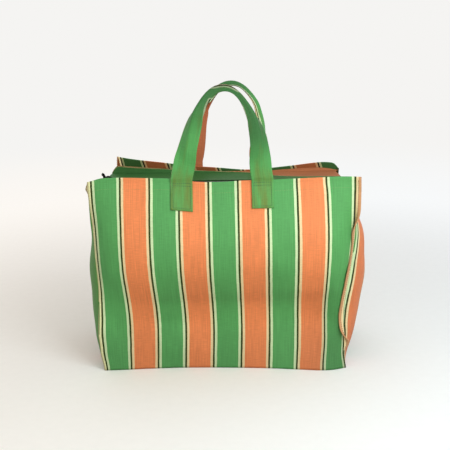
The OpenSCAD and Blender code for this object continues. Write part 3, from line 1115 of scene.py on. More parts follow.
@dataclass
class SeamFlange:
    """The pinched edge of cloth along one upright seam, which folds over as the curve says.

    The fold is in degrees at each height: 0 goes straight on from the wall, 180 lies back on it.
    """

    wall: WallShape
    finish: Finish
    side: Side
    body: str
    fold: Curve
    reach: Curve = ((0.0, 1.0), (0.375, 1.0))
    # A pale flange takes the paler copy of the seam cloth, which paints light on it.
    pale: bool = False
    width: float = 0.010
    thickness: float = 0.0018
    clearance: float = 0.6
    columns: int = 4
    rows: int = 90
    stitch_low: float = 0.004
    stitch_high: float = 0.006
    stitch_lift: float = 0.0001

    PROBE = 0.001

    def directions(self, height: float) -> Aimed:
        """Find how the wall lies beside the seam.

        Args:
            height: Place up the flat cloth.

        Returns:
            The directions straight on from the wall and off the wall.
        """
        crease = self.wall.crease(self.side)
        inside = crease - self.side.value * self.width
        onward = self.wall.point(crease, height) - self.wall.point(inside, height)
        normal = self.wall.normal(crease - self.side.value * self.width / 2, height)
        return onward.normalized(), normal

    def point(self, out: float, height: float) -> Vector:
        """Find a place on the flange.

        Args:
            out: Distance from the crease on the flat cloth.
            height: Place up the flat cloth.

        Returns:
            The place on the middle of the cloth.
        """
        onward, normal = self.directions(height)
        angle = math.radians(follow(self.fold, height))
        edge = self.wall.point(self.wall.crease(self.side), height)
        clear = normal * self.thickness * self.clearance * math.sin(angle / 2)
        far = out * follow(self.reach, height)
        return edge + clear + (onward * math.cos(angle) + normal * math.sin(angle)) * far

    def build(self) -> Piece:
        """Lay the flange.

        Returns:
            The new piece.
        """
        word = self.wall.word
        height = self.wall.height
        outward = self.side.value * self.wall.face.value < 0

        def flat(a: float, b: float) -> Flat:
            """Distance from the crease and height."""
            return (self.width * (a if outward else 1 - a), b * height)

        def pattern(a: float, b: float) -> Flat:
            """Place in the striped pattern, carried on from the wall."""
            out, up = flat(a, b)
            return self.wall.pattern_at(self.wall.crease(self.side) + self.side.value * out, up)

        made = cloth_grid(
            f"{word}_{self.side.word}_seam", self.columns, self.rows,
            lambda a, b: self.point(*flat(a, b)), flat, pattern,
            [self.finish.lit_seam if self.pale else self.finish.seam])
        thicken(made, self.thickness, 0.0)
        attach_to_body(made, self.body)
        return made

    def sew_on(self, thread: Shape) -> None:
        """Sew the line down the middle of the flange, on both of its faces.

        Args:
            thread: The bmesh that takes the stitches.
        """
        low = self.stitch_low
        high = self.wall.height - self.stitch_high
        half = self.width / 2
        for face_sign in (-1, 1):

            def run(share: float, face_sign: int = face_sign) -> Aimed:
                """Follow the seam.

                Args:
                    share: Share of the seam.
                    face_sign: Sign of the flange's face.

                Returns:
                    The place and the outward direction.
                """
                height = between(low, high, share)
                across = self.point(self.width, height) - self.point(0.0, height)
                up = self.point(half, height + self.PROBE) - self.point(half, height - self.PROBE)
                normal = across.cross(up).normalized() * face_sign
                lift = self.thickness / 2 + self.stitch_lift
                return self.point(half, height) + normal * lift, normal

            sew(thread, run, high - low)


@dataclass
class SideSeams:
    """The two flanges at one wall's sides, with their stitching."""

    wall: WallShape
    finish: Finish
    body: str
    left: SeamFlange
    right: SeamFlange

    def build(self) -> list[Piece]:
        """Lay the flanges and sew them.

        Returns:
            The new pieces.
        """
        word = self.wall.word
        thread = bmesh.new()
        pieces = []
        for flange in (self.left, self.right):
            pieces.append(flange.build())
            flange.sew_on(thread)
        stitches = add_object(f"{word}_seam_stitches", thread, [self.finish.brown_thread])
        return pieces + [attach(stitches, self.body, "thread", f"{word}_seam_stitching")]


@dataclass
class SideGusset:
    """The cloth between the front and back walls on one side, with the hem inside its top edge."""

    side: Side
    front: WallShape
    back: WallShape
    sizes: Sizes
    finish: Finish
    pattern_start: float
    swell: Curve
    drift: Curve = ((0.0, 0.0), (1.0, 0.0))
    dip: float = 0.042
    dip_power: int = 200
    swell_power: int = 4
    smooth_foot: float = 0.1
    crowding: float = 0.9
    depth: float = 0.262
    columns: int = 60
    rows: int = 84
    hem: float = 0.016
    hem_end: float = 0.06
    hem_gap: float = 1.3
    hem_columns: int = 50
    hem_rows: int = 5

    CRUMPLES = ((0.0035, 3.0, 4.5, 5.0), (0.001, 9.0, 7.0, 2.0))

    def point(self, share: float, up: float) -> Vector:
        """Find a place on the gusset.

        Args:
            share: Share of the way from the front seam to the back seam.
            up: Share of the gusset's height.

        Returns:
            The place on its outer surface.
        """
        start = self.front.point(self.front.crease(self.side), up * self.front.height)
        end = self.back.point(self.back.crease(self.side), up * self.back.height)
        off_middle = abs(2 * share - 1)
        full = 1 - off_middle ** self.swell_power
        out = full * follow(self.swell, up)
        sign = self.side.value
        folds = crumpled(self.CRUMPLES, share, up, sign)
        made = start.lerp(end, share)
        made.x += sign * (out + full * ease(up / self.smooth_foot) * folds)
        made.z -= up * self.dip * (1 - off_middle ** self.dip_power)
        return made

    def share(self, a: float) -> float:
        """Share of the depth, closer beside the seams, in the order that faces outwards."""
        closer = a - self.crowding * math.sin(2 * math.pi * a) / (2 * math.pi)
        return closer if self.side is Side.RIGHT else 1 - closer

    def flat(self, a: float, b: float) -> Flat:
        """Place on the flat cloth."""
        return (self.share(a) * self.depth, b * self.sizes.rim)

    def pattern(self, a: float, b: float) -> Flat:
        """Place in the striped pattern, which drifts at the front seam as the curve says."""
        start = self.pattern_start + follow(self.drift, b)
        return (start + self.share(a) * self.depth, b * self.sizes.rim)

    def fasten(self, piece: Piece, node: str) -> Piece:
        """Let a piece ride on the bag, give it its own copy of its mesh and let it stand for its
        node.

        Args:
            piece: The piece.
            node: The node.

        Returns:
            The piece.
        """
        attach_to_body(piece, "bag")
        self.sizes.squash_flat(piece)
        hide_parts(node)
        return piece

    def build(self) -> list[Piece]:
        """Lay the gusset and its hem.

        Returns:
            The new pieces.
        """
        word = self.side.word
        # The gusset takes the darker copy of the cloth: painted shade on the side.
        side = cloth_grid(
            f"{word}_side", self.columns, self.rows, lambda a, b: self.point(self.share(a), b),
            self.flat, self.pattern, [self.finish.side])
        thicken(side, self.sizes.cloth, -1.0)
        self.fasten(side, f"{word}_gusset")
        return [side, self.build_hem()]

    def build_hem(self) -> Piece:
        """Lay the hem inside the top edge.

        Returns:
            The hem.
        """
        word = self.side.word
        low = 1 - self.hem / self.sizes.rim
        length = 1 - 2 * self.hem_end
        inward = Vector((-self.side.value * self.sizes.cloth * self.hem_gap, 0, 0))

        def hem_share(a: float) -> float:
            """Share of the depth along the hem."""
            return self.hem_end + length * self.share(a)

        def flat(a: float, b: float) -> Flat:
            """Place on the flat cloth."""
            return (hem_share(a) * self.depth, b * self.hem)

        hem = cloth_grid(
            f"{word}_side_hem", self.hem_columns, self.hem_rows,
            lambda a, b: self.point(hem_share(a), between(low, 1, b)) + inward, flat,
            lambda a, b: (self.pattern_start + flat(a, b)[0], b * self.hem), [self.finish.side])
        thicken(hem, self.sizes.cloth * LINING_SHARE, -1.0)
        return self.fasten(hem, f"{word}_gusset_hem")


@dataclass
class BasePanel:
    """The cloth that the bag stands on."""

    front: WallShape
    back: WallShape
    sizes: Sizes
    finish: Finish
    end_in: float = 0.006
    edge_in: float = 0.003
    columns: int = 60
    rows: int = 30

    def point(self, a: float, b: float) -> Vector:
        """Find a place on the base.

        Args:
            a: Share from left to right.
            b: Share from back to front.

        Returns:
            The place.
        """
        ends = []
        for wall in (self.back, self.front):
            share = between(self.end_in, 1 - self.end_in, a)
            ends.append(wall.point(between(wall.left_crease, wall.right_crease, share), 0.0))
        made = ends[0].lerp(ends[1], between(self.edge_in, 1 - self.edge_in, b))
        made.z = 0.0
        return made

    def build(self) -> list[Piece]:
        """Lay the base.

        Returns:
            The new piece, alone.
        """
        width = self.front.width
        depth = self.sizes.depth

        def flat(a: float, b: float) -> Flat:
            """Place on the flat cloth, with the front wall's stripes carried on."""
            return (self.front.left_crease + width * a, -depth * b)

        made = cloth_grid(
            "base_cloth", self.columns, self.rows, self.point, flat, flat, [self.finish.stripes])
        thicken(made, self.sizes.cloth, -1.0)
        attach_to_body(made, "bag")
        self.sizes.squash_flat(made)
        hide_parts("base_panel")
        return [made]


@dataclass
class ZipBand:
    """The band of cloth between one wall and the zip, with its tape, stitching and sewn margin."""

    wall: WallShape
    sizes: Sizes
    finish: Finish
    body: str
    carrier: str
    margin_drop: Curve
    boundary: Curve
    sag: float = 0.005
    left_over: float = 0.0075
    right_over: float = 0.007
    cut_depth: float = 0.016
    columns: int = 150
    band_rows: int = 48
    margin_rows: int = 12
    margin_map: float = 0.012
    margin_flat: float = 0.010
    margin_least: float = 0.003
    margin_gap: float = 2.6
    margin_out: float = 0.004
    margin_in: float = 0.002
    tape_columns: int = 190
    tape_rows: int = 6
    tape_in: float = 0.0043
    tape_w: float = 0.014
    tape_t: float = 0.0008
    tape_over: float = 0.010
    tail_x: float = -0.236
    tail_rise: float = 0.0126
    tail_reach: float = 0.0115
    tail_close: float = 0.9
    tip_from: float = -0.2405
    tip_length: float = 0.0045
    tip_rise: float = 0.012
    tip_twist: float = 0.005
    tip_close: float = 0.7
    stitch_in: float = 0.004
    stitch_end: float = 0.01
    stitch_lift: float = 0.0002

    FOLDS = ((0.0012, 22, 30, 4.0),)

    @property
    def sign(self) -> int:
        """Sign of the wall's side along Y."""
        return self.wall.face.value

    @property
    def level(self) -> float:
        """Height of the band's underside."""
        return self.sizes.zip_z

    @property
    def width(self) -> float:
        """Width of the band from the wall to its edge beside the zip."""
        return self.sizes.band_out - self.sizes.band_in

    @property
    def length(self) -> float:
        """Length of the flat band."""
        return 2 * self.sizes.band_half

    @property
    def fold_keep(self) -> float:
        """Share of the band's width that is left when the bag is folded flat."""
        wide = self.sizes.band_out - self.tape_in
        return (wide - self.sizes.travel / 2) / wide

    def along(self, share: float, from_wall: float) -> float:
        """Find a place along the band, which is cut aslant at its right end.

        Args:
            share: Share from left to right.
            from_wall: Distance from the wall.

        Returns:
            The place along X.
        """
        near = 1 - ease(from_wall / self.cut_depth)
        left = -self.sizes.band_half - self.left_over
        right = self.sizes.band_half + self.right_over * near
        return between(left, right, share)

    def ordered(self, a: float) -> float:
        """Share from left to right, in the order that makes the band face up."""
        return a if self.wall.face is Face.BACK else 1 - a

    def margin_top(self, x: float) -> float:
        """Height of the upper edge of the margin that is sewn to the wall."""
        rim = self.wall.height + follow(self.wall.rim, x)
        return max(self.level + self.margin_least, rim - follow(self.margin_drop, x))

    def pattern(self, x: float, down: float) -> Flat:
        """Find a place in the pattern, whose stripes run along the band.

        Args:
            x: Place along the band.
            down: Distance from the margin's upper edge.

        Returns:
            The place in the pattern.
        """
        past = down - follow(self.boundary, x)
        held = max(min(past, LINE_PITCH / 2), -LINE_PITCH / 2)
        return (FIRST_LINE + LINE_PITCH - held, x)

    def declare(self) -> None:
        """Do nothing."""
        f"{self.wall.word}_wall"

    def gather(self, piece: Piece) -> None:
        """Let a piece ride on the flap, with its own copy of its mesh.

        Args:
            piece: The piece.
        """
        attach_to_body(piece, self.body)
        self.fold_keep
        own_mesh(piece)

    def band_point(self, a: float, b: float) -> Vector:
        """Find a place on the band's upper face.

        Args:
            a: Share along the band.
            b: Share of the way from the wall to the zip.

        Returns:
            The place.
        """
        from_wall = self.width * b
        x = self.along(self.ordered(a), from_wall)
        dip = self.sag * math.sin(math.pi * b) * (1 - (x / self.sizes.band_half) ** 4)
        fold = crumpled(self.FOLDS, x, from_wall, self.sign)
        z = self.level + self.sizes.cloth - dip + fold * math.sin(math.pi * b)
        return Vector((x, self.sign * (self.sizes.band_out - from_wall), z))

    def margin_point(self, a: float, b: float) -> Vector:
        """Find a place on the margin.

        Args:
            a: Share along the margin.
            b: Share of the way from its upper edge to the band.

        Returns:
            The place.
        """
        x = self.along(self.ordered(a), 0.0)
        low = self.level + self.sizes.cloth
        z = between(low, self.margin_top(x), 1 - b)
        wall_y = abs(self.wall.point(x, min(z, self.wall.height)).y)
        inner = min(wall_y - self.margin_gap * self.sizes.cloth,
                    self.sizes.band_out + self.margin_out)
        y = between(inner, self.sizes.band_out - self.margin_in, ease(b))
        return Vector((x, self.sign * y, z))

    def tape_point(self, a: float, b: float) -> Vector:
        """Find a place on the tape, which humps up where its left end runs out.

        Args:
            a: Share along the tape.
            b: Share of the way from its outer edge to the zip.

        Returns:
            The place. The tip of the left end turns up.
        """
        end = self.sizes.band_half + self.tape_over
        x = (2 * self.ordered(a) - 1) * end
        hump = math.exp(-((x - self.tail_x) / self.tail_reach) ** 2)
        tip = ease((self.tip_from - x) / self.tip_length)
        y = self.tape_in * (1 - self.tail_close * hump) + self.tape_w * (1 - b)
        y *= 1 - self.tip_close * tip
        twist = self.tip_rise + self.tip_twist * (0.5 - b)
        z = self.level + self.tail_rise * hump + tip * twist
        return Vector((x, self.sign * y, z))

    def build(self) -> list[Piece]:
        """Lay the band, its margin, its tape and its stitching."""
        return [self.build_band(), self.build_margin(), self.build_tape(),
                self.build_stitching()]

    def build_band(self) -> Piece:
        """Lay the band.

        Returns:
            The band.
        """

        def pattern(a: float, b: float) -> Flat:
            """Place in the band's pattern."""
            x = self.band_point(a, b).x
            return self.pattern(x, self.margin_top(x) - self.level + self.width * b)

        # The band takes the darker copy of the cloth: painted shade inside the mouth.
        band = cloth_grid(
            f"{self.wall.word}_zip_cloth", self.columns, self.band_rows, self.band_point,
            lambda a, b: (self.width * b, self.length * self.ordered(a)), pattern,
            [self.finish.band])
        thicken(band, self.sizes.cloth, -1.0)
        self.gather(band)
        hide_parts(f"{self.wall.word}_zip_band")
        self.declare()
        return band

    def build_margin(self) -> Piece:
        """Lay the margin that is sewn to the wall.

        Returns:
            The margin.
        """

        def pattern(a: float, b: float) -> Flat:
            """Place in the margin's pattern."""
            x = self.margin_point(a, b).x
            return self.pattern(x, (self.margin_top(x) - self.level) * b)

        # The margin takes the darker copy of the cloth: painted shade inside the mouth.
        margin = cloth_grid(
            f"{self.wall.word}_zip_margin", self.columns, self.margin_rows, self.margin_point,
            lambda a, b: (self.margin_map * b, self.length * self.ordered(a)), pattern,
            [self.finish.band])
        thicken(margin, self.sizes.cloth * LINING_SHARE, -1.0)
        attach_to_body(margin, self.carrier)
        self.declare()
        return margin

    def build_tape(self) -> Piece:
        """Lay the zip tape.

        Returns:
            The tape.
        """

        def flat(a: float, b: float) -> Flat:
            """Place on the flat tape."""
            return (self.tape_w * b, self.length * self.ordered(a))

        tape = cloth_grid(
            f"{self.wall.word}_tape", self.tape_columns, self.tape_rows, self.tape_point, flat,
            flat, [self.finish.tape])
        thicken(tape, self.tape_t, -1.0)
        self.gather(tape)
        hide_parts(f"{self.wall.word}_zip_tape")
        self.declare()
        return tape

    def build_stitching(self) -> Piece:
        """Sew the line beside the zip.

        Returns:
            The stitches.
        """
        share = 1 - self.stitch_in / self.width
        up = Vector((0, 0, 1))
        thread = bmesh.new()

        def run(along: float) -> Aimed:
            """Place and direction along the line."""
            place = self.band_point(between(self.stitch_end, 1 - self.stitch_end, along), share)
            return place + up * self.stitch_lift, up

        sew(thread, run, self.length)
        made = add_object(f"{self.wall.word}_band_stitches", thread, [self.finish.green_thread])
        self.gather(made)
        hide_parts(f"{self.wall.word}_band_stitching")
        return made


def round_edges(shape: Shape, edges: list[bmesh.types.BMEdge], radius: float,
                segments: int) -> None:
    """Round a few edges of a solid."""
    bmesh.ops.bevel(shape, geom=edges, offset=radius, offset_type="OFFSET", affect="EDGES",
                    segments=segments, profile=0.5, material=-1)


def add_block(shape: Shape, low: Vector, high: Vector, round_by: float, segments: int = 2) -> None:
    """Add a block with rounded edges.

    Args:
        shape: The bmesh that takes the block.
        low: The block's lowest corner.
        high: The block's highest corner.
        round_by: Radius of its edges.
        segments: Number of faces round an edge.
    """
    size = high - low
    place = Matrix.Translation((low + high) / 2) @ Matrix.Diagonal((size.x, size.y, size.z, 1))
    made = bmesh.ops.create_cube(shape, size=1.0, matrix=place)
    edges = list({edge for vert in made["verts"] for edge in vert.link_edges})
    round_edges(shape, edges, round_by, segments)


def add_ring(shape: Shape, centre: Vector, axis: Vector, inner: float, outer: float,
             width: float) -> None:
    """Add a ring with a hole, by spinning a rounded section round its axis.

    Args:
        shape: The bmesh that takes the ring.
        centre: The ring's middle.
        axis: The way that its hole goes.
        inner: Radius of the hole.
        outer: Outer radius.
        width: Width along the axis.
    """
    square = 0.35
    aside = axis.orthogonal().normalized()
    section = bmesh.ops.create_circle(shape, cap_ends=False, segments=10, radius=1.0)["verts"]
    for vert in section:
        x = math.copysign(abs(vert.co.x) ** square, vert.co.x)
        y = math.copysign(abs(vert.co.y) ** square, vert.co.y)
        radial = (inner + outer) / 2 + x * (outer - inner) / 2
        vert.co = centre + aside * radial + axis * y * width / 2
    edges = list({edge for vert in section for edge in vert.link_edges})
    bmesh.ops.spin(shape, geom=section + edges, cent=centre, axis=axis, angle=2 * math.pi,
                   steps=28, use_merge=True)


@dataclass
class ZipChain:
    """The two rows of teeth with their stops, the slider and its pull."""

    sizes: Sizes
    finish: Finish
    pitch: float = 0.003
    tooth_w: float = 0.0013
    tooth_up: float = 0.0008
    tooth_down: float = 0.0016
    tooth_root: float = 0.0004
    tooth_round: float = 0.00025
    row_half: float = 0.004
    reach: float = 0.0012
    bead: float = 0.0018
    bead_in: float = 0.0003
    bead_round: float = 0.0004
    stop_round: float = 0.0005
    plate: float = 0.001
    plate_round: float = 0.00045
    neck_y: float = -0.0033
    neck_x_size: float = 0.0025
    neck_y_size: float = 0.0018
    small_round: float = 0.0003
    lug_half: float = 0.0028
    lug_t: float = 0.002
    lug_neck: float = 0.0023
    lug_under_pin: float = 0.0002
    pin_play: float = 0.0001
    arm: float = 0.0014
    pull_t: float = 0.0014
    eye_wall: float = 0.0006
    tab_from_pin: float = 0.0043
    tab_lap: float = 0.0012
    tab_round: float = 0.0005
    tab_hole: float = 0.0015
    pin_dome: float = 0.3
    pin_rim_angle: float = 1.0
    sharp_angle: float = math.radians(40)

    STOPS = (("front_zip_stop", "front_chain"), ("back_zip_stop", "back_chain"),
             ("zip_bottom_stop", "back_chain"))
    CROSSWISE = Vector((0, 1, 0))
    UPRIGHT = Vector((0, 0, 1))

    def build(self) -> list[Piece]:
        """Build the teeth, the stops, the slider and the pull.

        Returns:
            The new pieces.
        """
        pieces = [self.build_row(face) for face in Face]
        pieces += [self.build_stop(node, body) for node, body in self.STOPS]
        pieces += [self.build_slider(), self.build_pull(), self.build_pin()]
        return pieces

    def place(self, name: str, shape: Shape, node: str, body: str, slot: str,
              material: Material) -> Piece:
        """Make a hard piece that stands for a node and rides on a body."""
        bmesh.ops.recalc_face_normals(shape, faces=shape.faces)
        return attach(add_object(name, shape, [material], self.sharp_angle), body, slot, node)

    def build_row(self, face: Face) -> Piece:
        """Build a row of teeth on its cord.

        Args:
            face: The wall that the row belongs to.

        Returns:
            The row.
        """
        low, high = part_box(f"{face.word}_zip_teeth")
        sign = face.value
        shape = bmesh.new()
        z_low = self.sizes.zip_z - self.tooth_down
        z_high = self.sizes.zip_z + self.tooth_up
        outer = sign * self.row_half
        inner = sign * (self.row_half - self.bead)
        add_block(
            shape, Vector((low.x, min(outer, inner), z_low + self.bead_in)),
            Vector((high.x, max(outer, inner), z_high - self.bead_in)), self.bead_round)
        first = low.x + (self.pitch / 2 - self.tooth_w) / 2
        if face is Face.FRONT:
            first += self.pitch / 2
        tip = -sign * self.reach
        for index in range(int((high.x - low.x) / self.pitch)):
            x = first + index * self.pitch
            add_block(
                shape, Vector((x, min(inner, tip) - self.tooth_root, z_low)),
                Vector((x + self.tooth_w, max(inner, tip) + self.tooth_root, z_high)),
                self.tooth_round, segments=1)
        return self.place(
            f"{face.word}_teeth_row", shape, f"{face.word}_zip_teeth", f"{face.word}_chain",
            "zip_teeth", self.finish.teeth)

    def build_stop(self, node: str, body: str) -> Piece:
        """Build an end stop with rounded edges.

        Args:
            node: The node that it stands for.
            body: The body that it rides on.

        Returns:
            The stop.
        """
        shape = bmesh.new()
        add_block(shape, *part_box(node), self.stop_round, segments=3)
        return self.place(f"{node}_clip", shape, node, body, "zip_metal", self.finish.metal)

    def build_slider(self) -> Piece:
        """Build the slider: two plates, the neck between them and the lug with its hole.

        Returns:
            The slider.
        """
        low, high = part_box("zip_slider")
        pin, pin_r, _ = self.pin()
        half_plate = self.plate / 2
        top = high.z - self.lug_half - self.lug_neck
        neck_high = Vector((low.x + self.neck_x_size, self.neck_y + self.neck_y_size,
                            top - half_plate))
        lug_low = Vector((pin.x - self.lug_half, -self.lug_t / 2, top - half_plate))
        lug_high = Vector((pin.x + self.lug_half, self.lug_t / 2,
                           pin.z - pin_r - self.lug_under_pin))
        shape = bmesh.new()
        add_block(shape, low, Vector((high.x, high.y, low.z + self.plate)), self.plate_round,
                  segments=3)
        add_block(shape, Vector((low.x, low.y, top - self.plate)),
                  Vector((high.x, high.y, top)), self.plate_round, segments=3)
        add_block(shape, Vector((low.x, self.neck_y, low.z + half_plate)), neck_high,
                  self.small_round)
        add_block(shape, lug_low, lug_high, self.small_round)
        add_ring(shape, pin, self.CROSSWISE, pin_r + self.pin_play, self.lug_half, self.lug_t)
        return self.place(
            "slider_body", shape, "zip_slider", "slider", "zip_metal", self.finish.metal)

    def pin(self) -> tuple[Vector, float, float]:
        """Middle and radius of the pull's pin, and the place of its end along Y."""
        low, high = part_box("zip_pull_pin")
        return (low + high) / 2, (high.x - low.x) / 2, high.y

    def build_pull(self) -> Piece:
        """Build the pull: two eyes and arms, and a tab with a hole near its tip.

        Returns:
            The pull.
        """
        low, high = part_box("zip_pull")
        pin, pin_r, pin_end = self.pin()
        half = (high.y - low.y) / 2
        z_low = pin.z - self.pull_t / 2
        z_high = pin.z + self.pull_t / 2
        tab_x = pin.x + self.tab_from_pin
        round_x = high.x - half
        shape = bmesh.new()
        for sign in (-1, 1):
            near = sign * (pin_end - self.arm)
            far = sign * pin_end
            eye = Vector((pin.x, (near + far) / 2, pin.z))
            add_ring(shape, eye, self.CROSSWISE, pin_r, pin_r + self.eye_wall, self.arm)
            add_block(
                shape, Vector((pin.x + pin_r, min(near, far), z_low)),
                Vector((tab_x + self.arm, max(near, far), z_high)), self.small_round)
        add_block(shape, Vector((tab_x, -half, z_low)),
                  Vector((round_x - self.tab_lap, half, z_high)), self.tab_round, segments=3)
        add_ring(shape, Vector((round_x, 0, pin.z)), self.UPRIGHT, self.tab_hole, half, self.pull_t)
        return self.place("pull_tab", shape, "zip_pull", "pull", "zip_metal", self.finish.metal)

    def build_pin(self) -> Piece:
        """Build the pin with domed ends.

        Returns:
            The pin.
        """
        low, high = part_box("zip_pull_pin")
        radius = (high.x - low.x) / 2
        shape = bmesh.new()
        lie = Matrix.Translation((low + high) / 2) @ Matrix.Rotation(math.pi / 2, 4, "X")
        bmesh.ops.create_cone(
            shape, cap_ends=True, segments=28, radius1=radius, radius2=radius,
            depth=high.y - low.y, matrix=lie)
        rims = [edge for edge in shape.edges if edge.calc_face_angle(0.0) > self.pin_rim_angle]
        round_edges(shape, rims, radius * self.pin_dome, segments=3)
        return self.place("pull_pin", shape, "zip_pull_pin", "pull", "zip_metal", self.finish.metal)


@dataclass
class Handle:
    """One strap: two ends sewn to a wall and a free loop that folds double towards its top."""

    wall: WallShape
    finish: Finish
    body: str
    loop_body: str
    shift: float
    lean: Curve
    fold: Curve
    narrowing: Curve
    roll: Curve
    span: float = 0.148
    rise: float = 0.163
    strap_w: float = 0.040
    thickness: float = 0.0024
    patch: float = 0.0545
    right_short: float = 0.004
    loop_flat: float = 0.42
    leg_lean: float = 0.014
    leg_h: float = 0.060
    arch_half: float = 0.044
    bend_half: float = 0.0052
    stand_off: float = 0.0018
    lean_height: float = 0.09
    level_share: float = 0.12
    patch_lift: float = 0.0003
    rim_fade: float = 0.03
    fold_spread: float = 0.38
    blend_below: float = 0.004
    blend_length: float = 0.022
    stitch_in: float = 0.004
    stitch_top: float = 0.003
    stitch_row: float = 0.005
    stitch_lift: float = 0.0002
    stitch_pitch: float = 0.0036
    stitch_width: float = 0.0011
    patch_rows: int = 16
    loop_rows: int = 120
    columns: int = 24

    PROBE = 0.004
    SECTION_STEPS = 40

    @property
    def sign(self) -> int:
        """Sign of the wall's side along Y."""
        return self.wall.face.value

    @property
    def foot_z(self) -> float:
        """Height at which the strap leaves its wall."""
        return self.wall.height

    @property
    def feet(self) -> tuple[float, ...]:
        """Places of both feet across the wall's flat cloth."""
        return tuple(self.foot(side) for side in Side)

    def sewn(self, side: Side) -> float:
        """Length that is sewn down at a side."""
        return self.patch - (self.right_short if side is Side.RIGHT else 0.0)

    def foot(self, side: Side) -> float:
        """Place of a foot across the wall's flat cloth."""
        return self.shift + side.value * self.span / 2

    def foot_sway(self) -> float:
        """Sideways shift of the wall's cloth at the mouth."""
        return follow(self.wall.sway, self.wall.height)

    def arch(self, s: float) -> Vector:
        """Find a place on the middle line of the free loop.

        Args:
            s: Place along the loop, from the left foot at -1 to the right foot at 1.

        Returns:
            The place.
        """
        side = -1 if s < 0 else 1
        t = 1 - abs(s)
        r = 1 - t
        foot = self.span / 2
        x = foot * r ** 3 + 3 * (foot - self.leg_lean) * r * r * t + 3 * self.arch_half * r * t * t
        z = 3 * self.leg_h * r * r * t + 3 * self.rise * r * t * t + self.rise * t ** 3
        x = side * x + follow(self.lean, s) * ease(z / self.lean_height) + self.foot_sway()
        y = self.sign * (self.wall.plane_y + self.stand_off)
        return Vector((self.shift + x, y, self.foot_z + z))

    def section(self, q: float, fold: float) -> Flat:
        """Cross-section of the strap, whose outer half turns behind its inner half.

        Args:
            q: Place across the strap, from its middle, positive on the outside of the arch.
            fold: Share of a full turn by which the outer half is folded.

        Returns:
            The distance outwards and the distance behind the middle line.
        """
        steps = self.SECTION_STEPS
        half = self.strap_w / 2
        step = self.strap_w / steps
        line = [(0.0, 0.0)]
        for index in range(steps):
            middle = -half + self.strap_w * (index + 0.5) / steps
            angle = fold * math.pi * ease((middle + self.bend_half) / (2 * self.bend_half))
            out, behind = line[-1]
            line.append((out + step * math.cos(angle), behind + step * math.sin(angle)))
        at = (q + half) / self.strap_w * steps
        index = min(int(at), steps - 1)
        offsets = []
        for row in zip(*line):
            centre = (max(row) + min(row)) / 2
            offsets.append(between(row[index], row[index + 1], at - index) - centre)
        return (offsets[0], offsets[1])

    def loop_point(self, s: float, q: float) -> Vector:
        """Find a place on the free loop.

        Args:
            s: Place along the loop, from -1 to 1.
            q: Place across the strap, from its middle.

        Returns:
            The place on the middle of the strap's thickness.
        """
        ahead = self.arch(min(s + self.PROBE, 1.0)) - self.arch(max(s - self.PROBE, -1.0))
        outward = Vector((-ahead.z, 0, ahead.x)).normalized()
        level = Vector((-1.0 if s < 0 else 1.0, 0, 0))
        outward = level.lerp(outward, ease((1 - abs(s)) / self.level_share)).normalized()
        out, behind = self.section(q, follow(self.fold, s))
        width = follow(self.narrowing, s)
        return self.arch(s) + outward * out * width + Vector((0, -self.sign * behind, 0))

    def patch_point(self, side: Side, down: float, q: float) -> Vector:
        """Find a place on a sewn end.

        Args:
            side: The end's side.
            down: Distance under the mouth.
            q: Place across the strap, from its middle.

        Returns:
            The place on the middle of the strap's thickness.
        """
        across = self.foot(side) + side.value * q
        lift = self.patch_lift + self.thickness / 2
        place = self.wall.off(across, self.foot_z - down, lift)
        place.z -= follow(self.wall.rim, across) * ease(1 - down / self.rim_fade)
        return place

    def strap_point(self, along: float, q: float) -> Vector:
        """Find a place on the strap.

        Args:
            along: Row along the strap, from the left end to the right end.
            q: Place across the strap, from its middle.

        Returns:
            The place on the middle of the strap's thickness.
        """
        if along < self.patch_rows:
            down = self.sewn(Side.LEFT) * (1 - along / self.patch_rows)
            return self.patch_point(Side.LEFT, down, q)
        past = along - self.patch_rows
        if past <= self.loop_rows:
            return self.loop_point(2 * past / self.loop_rows - 1, q)
        down = self.sewn(Side.RIGHT) * (past - self.loop_rows) / self.patch_rows
        return self.patch_point(Side.RIGHT, down, q)

    def build(self) -> list[Piece]:
        """Lay the strap and sew its ends.

        Returns:
            The new pieces.
        """
        word = self.wall.word
        rows = self.loop_rows + 2 * self.patch_rows
        length = 2 * self.patch + self.loop_flat
        front = self.wall.face is Face.FRONT

        def across(a: float) -> float:
            """Place across the strap, in the order that makes its green face look outwards."""
            return self.strap_w * (0.5 - a if front else a - 0.5)

        def flat(a: float, b: float) -> Flat:
            """Place on the flat strap."""
            return (across(a), length * b)

        def pattern(a: float, b: float) -> Flat:
            """Find a place in the pattern, whose lines show where the strap is folded or rolled.

            Args:
                a: Share across the cloth.
                b: Share along the cloth.

            Returns:
                The place.
            """
            s = min(max(2 * (b * rows - self.patch_rows) / self.loop_rows - 1, -1.0), 1.0)
            spread = across(a) * (1 + self.fold_spread * follow(self.fold, s) ** 2)
            return (GREEN_MIDDLE + spread + follow(self.roll, s), length * b)

        strap = cloth_grid(
            f"{word}_strap", self.columns, rows,
            lambda a, b: self.strap_point(b * rows, across(a)), flat, pattern,
            [self.finish.strap if front else self.finish.back_strap, self.finish.strap_back])
        thicken(strap, self.thickness, 0.0, back=1)
        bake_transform(strap)
        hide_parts(f"{word}_handle_loop", f"{word}_handle_ends")
        return [strap, self.build_stitching()]

    def build_stitching(self) -> Piece:
        """Sew a box and a line on each end.

        Returns:
            The stitches.
        """
        reach = self.strap_w / 2 - self.stitch_in
        high = self.stitch_in + self.stitch_top
        row = high + self.stitch_row
        thread = bmesh.new()
        for side in Side:
            low = self.sewn(side) - self.stitch_in
            corners = [(-reach, low), (reach, low), (reach, high), (-reach, high), (-reach, low)]
            lines = list(zip(corners, corners[1:]))
            lines.append(((-reach, row), (reach, row)))
            for start, end in lines:

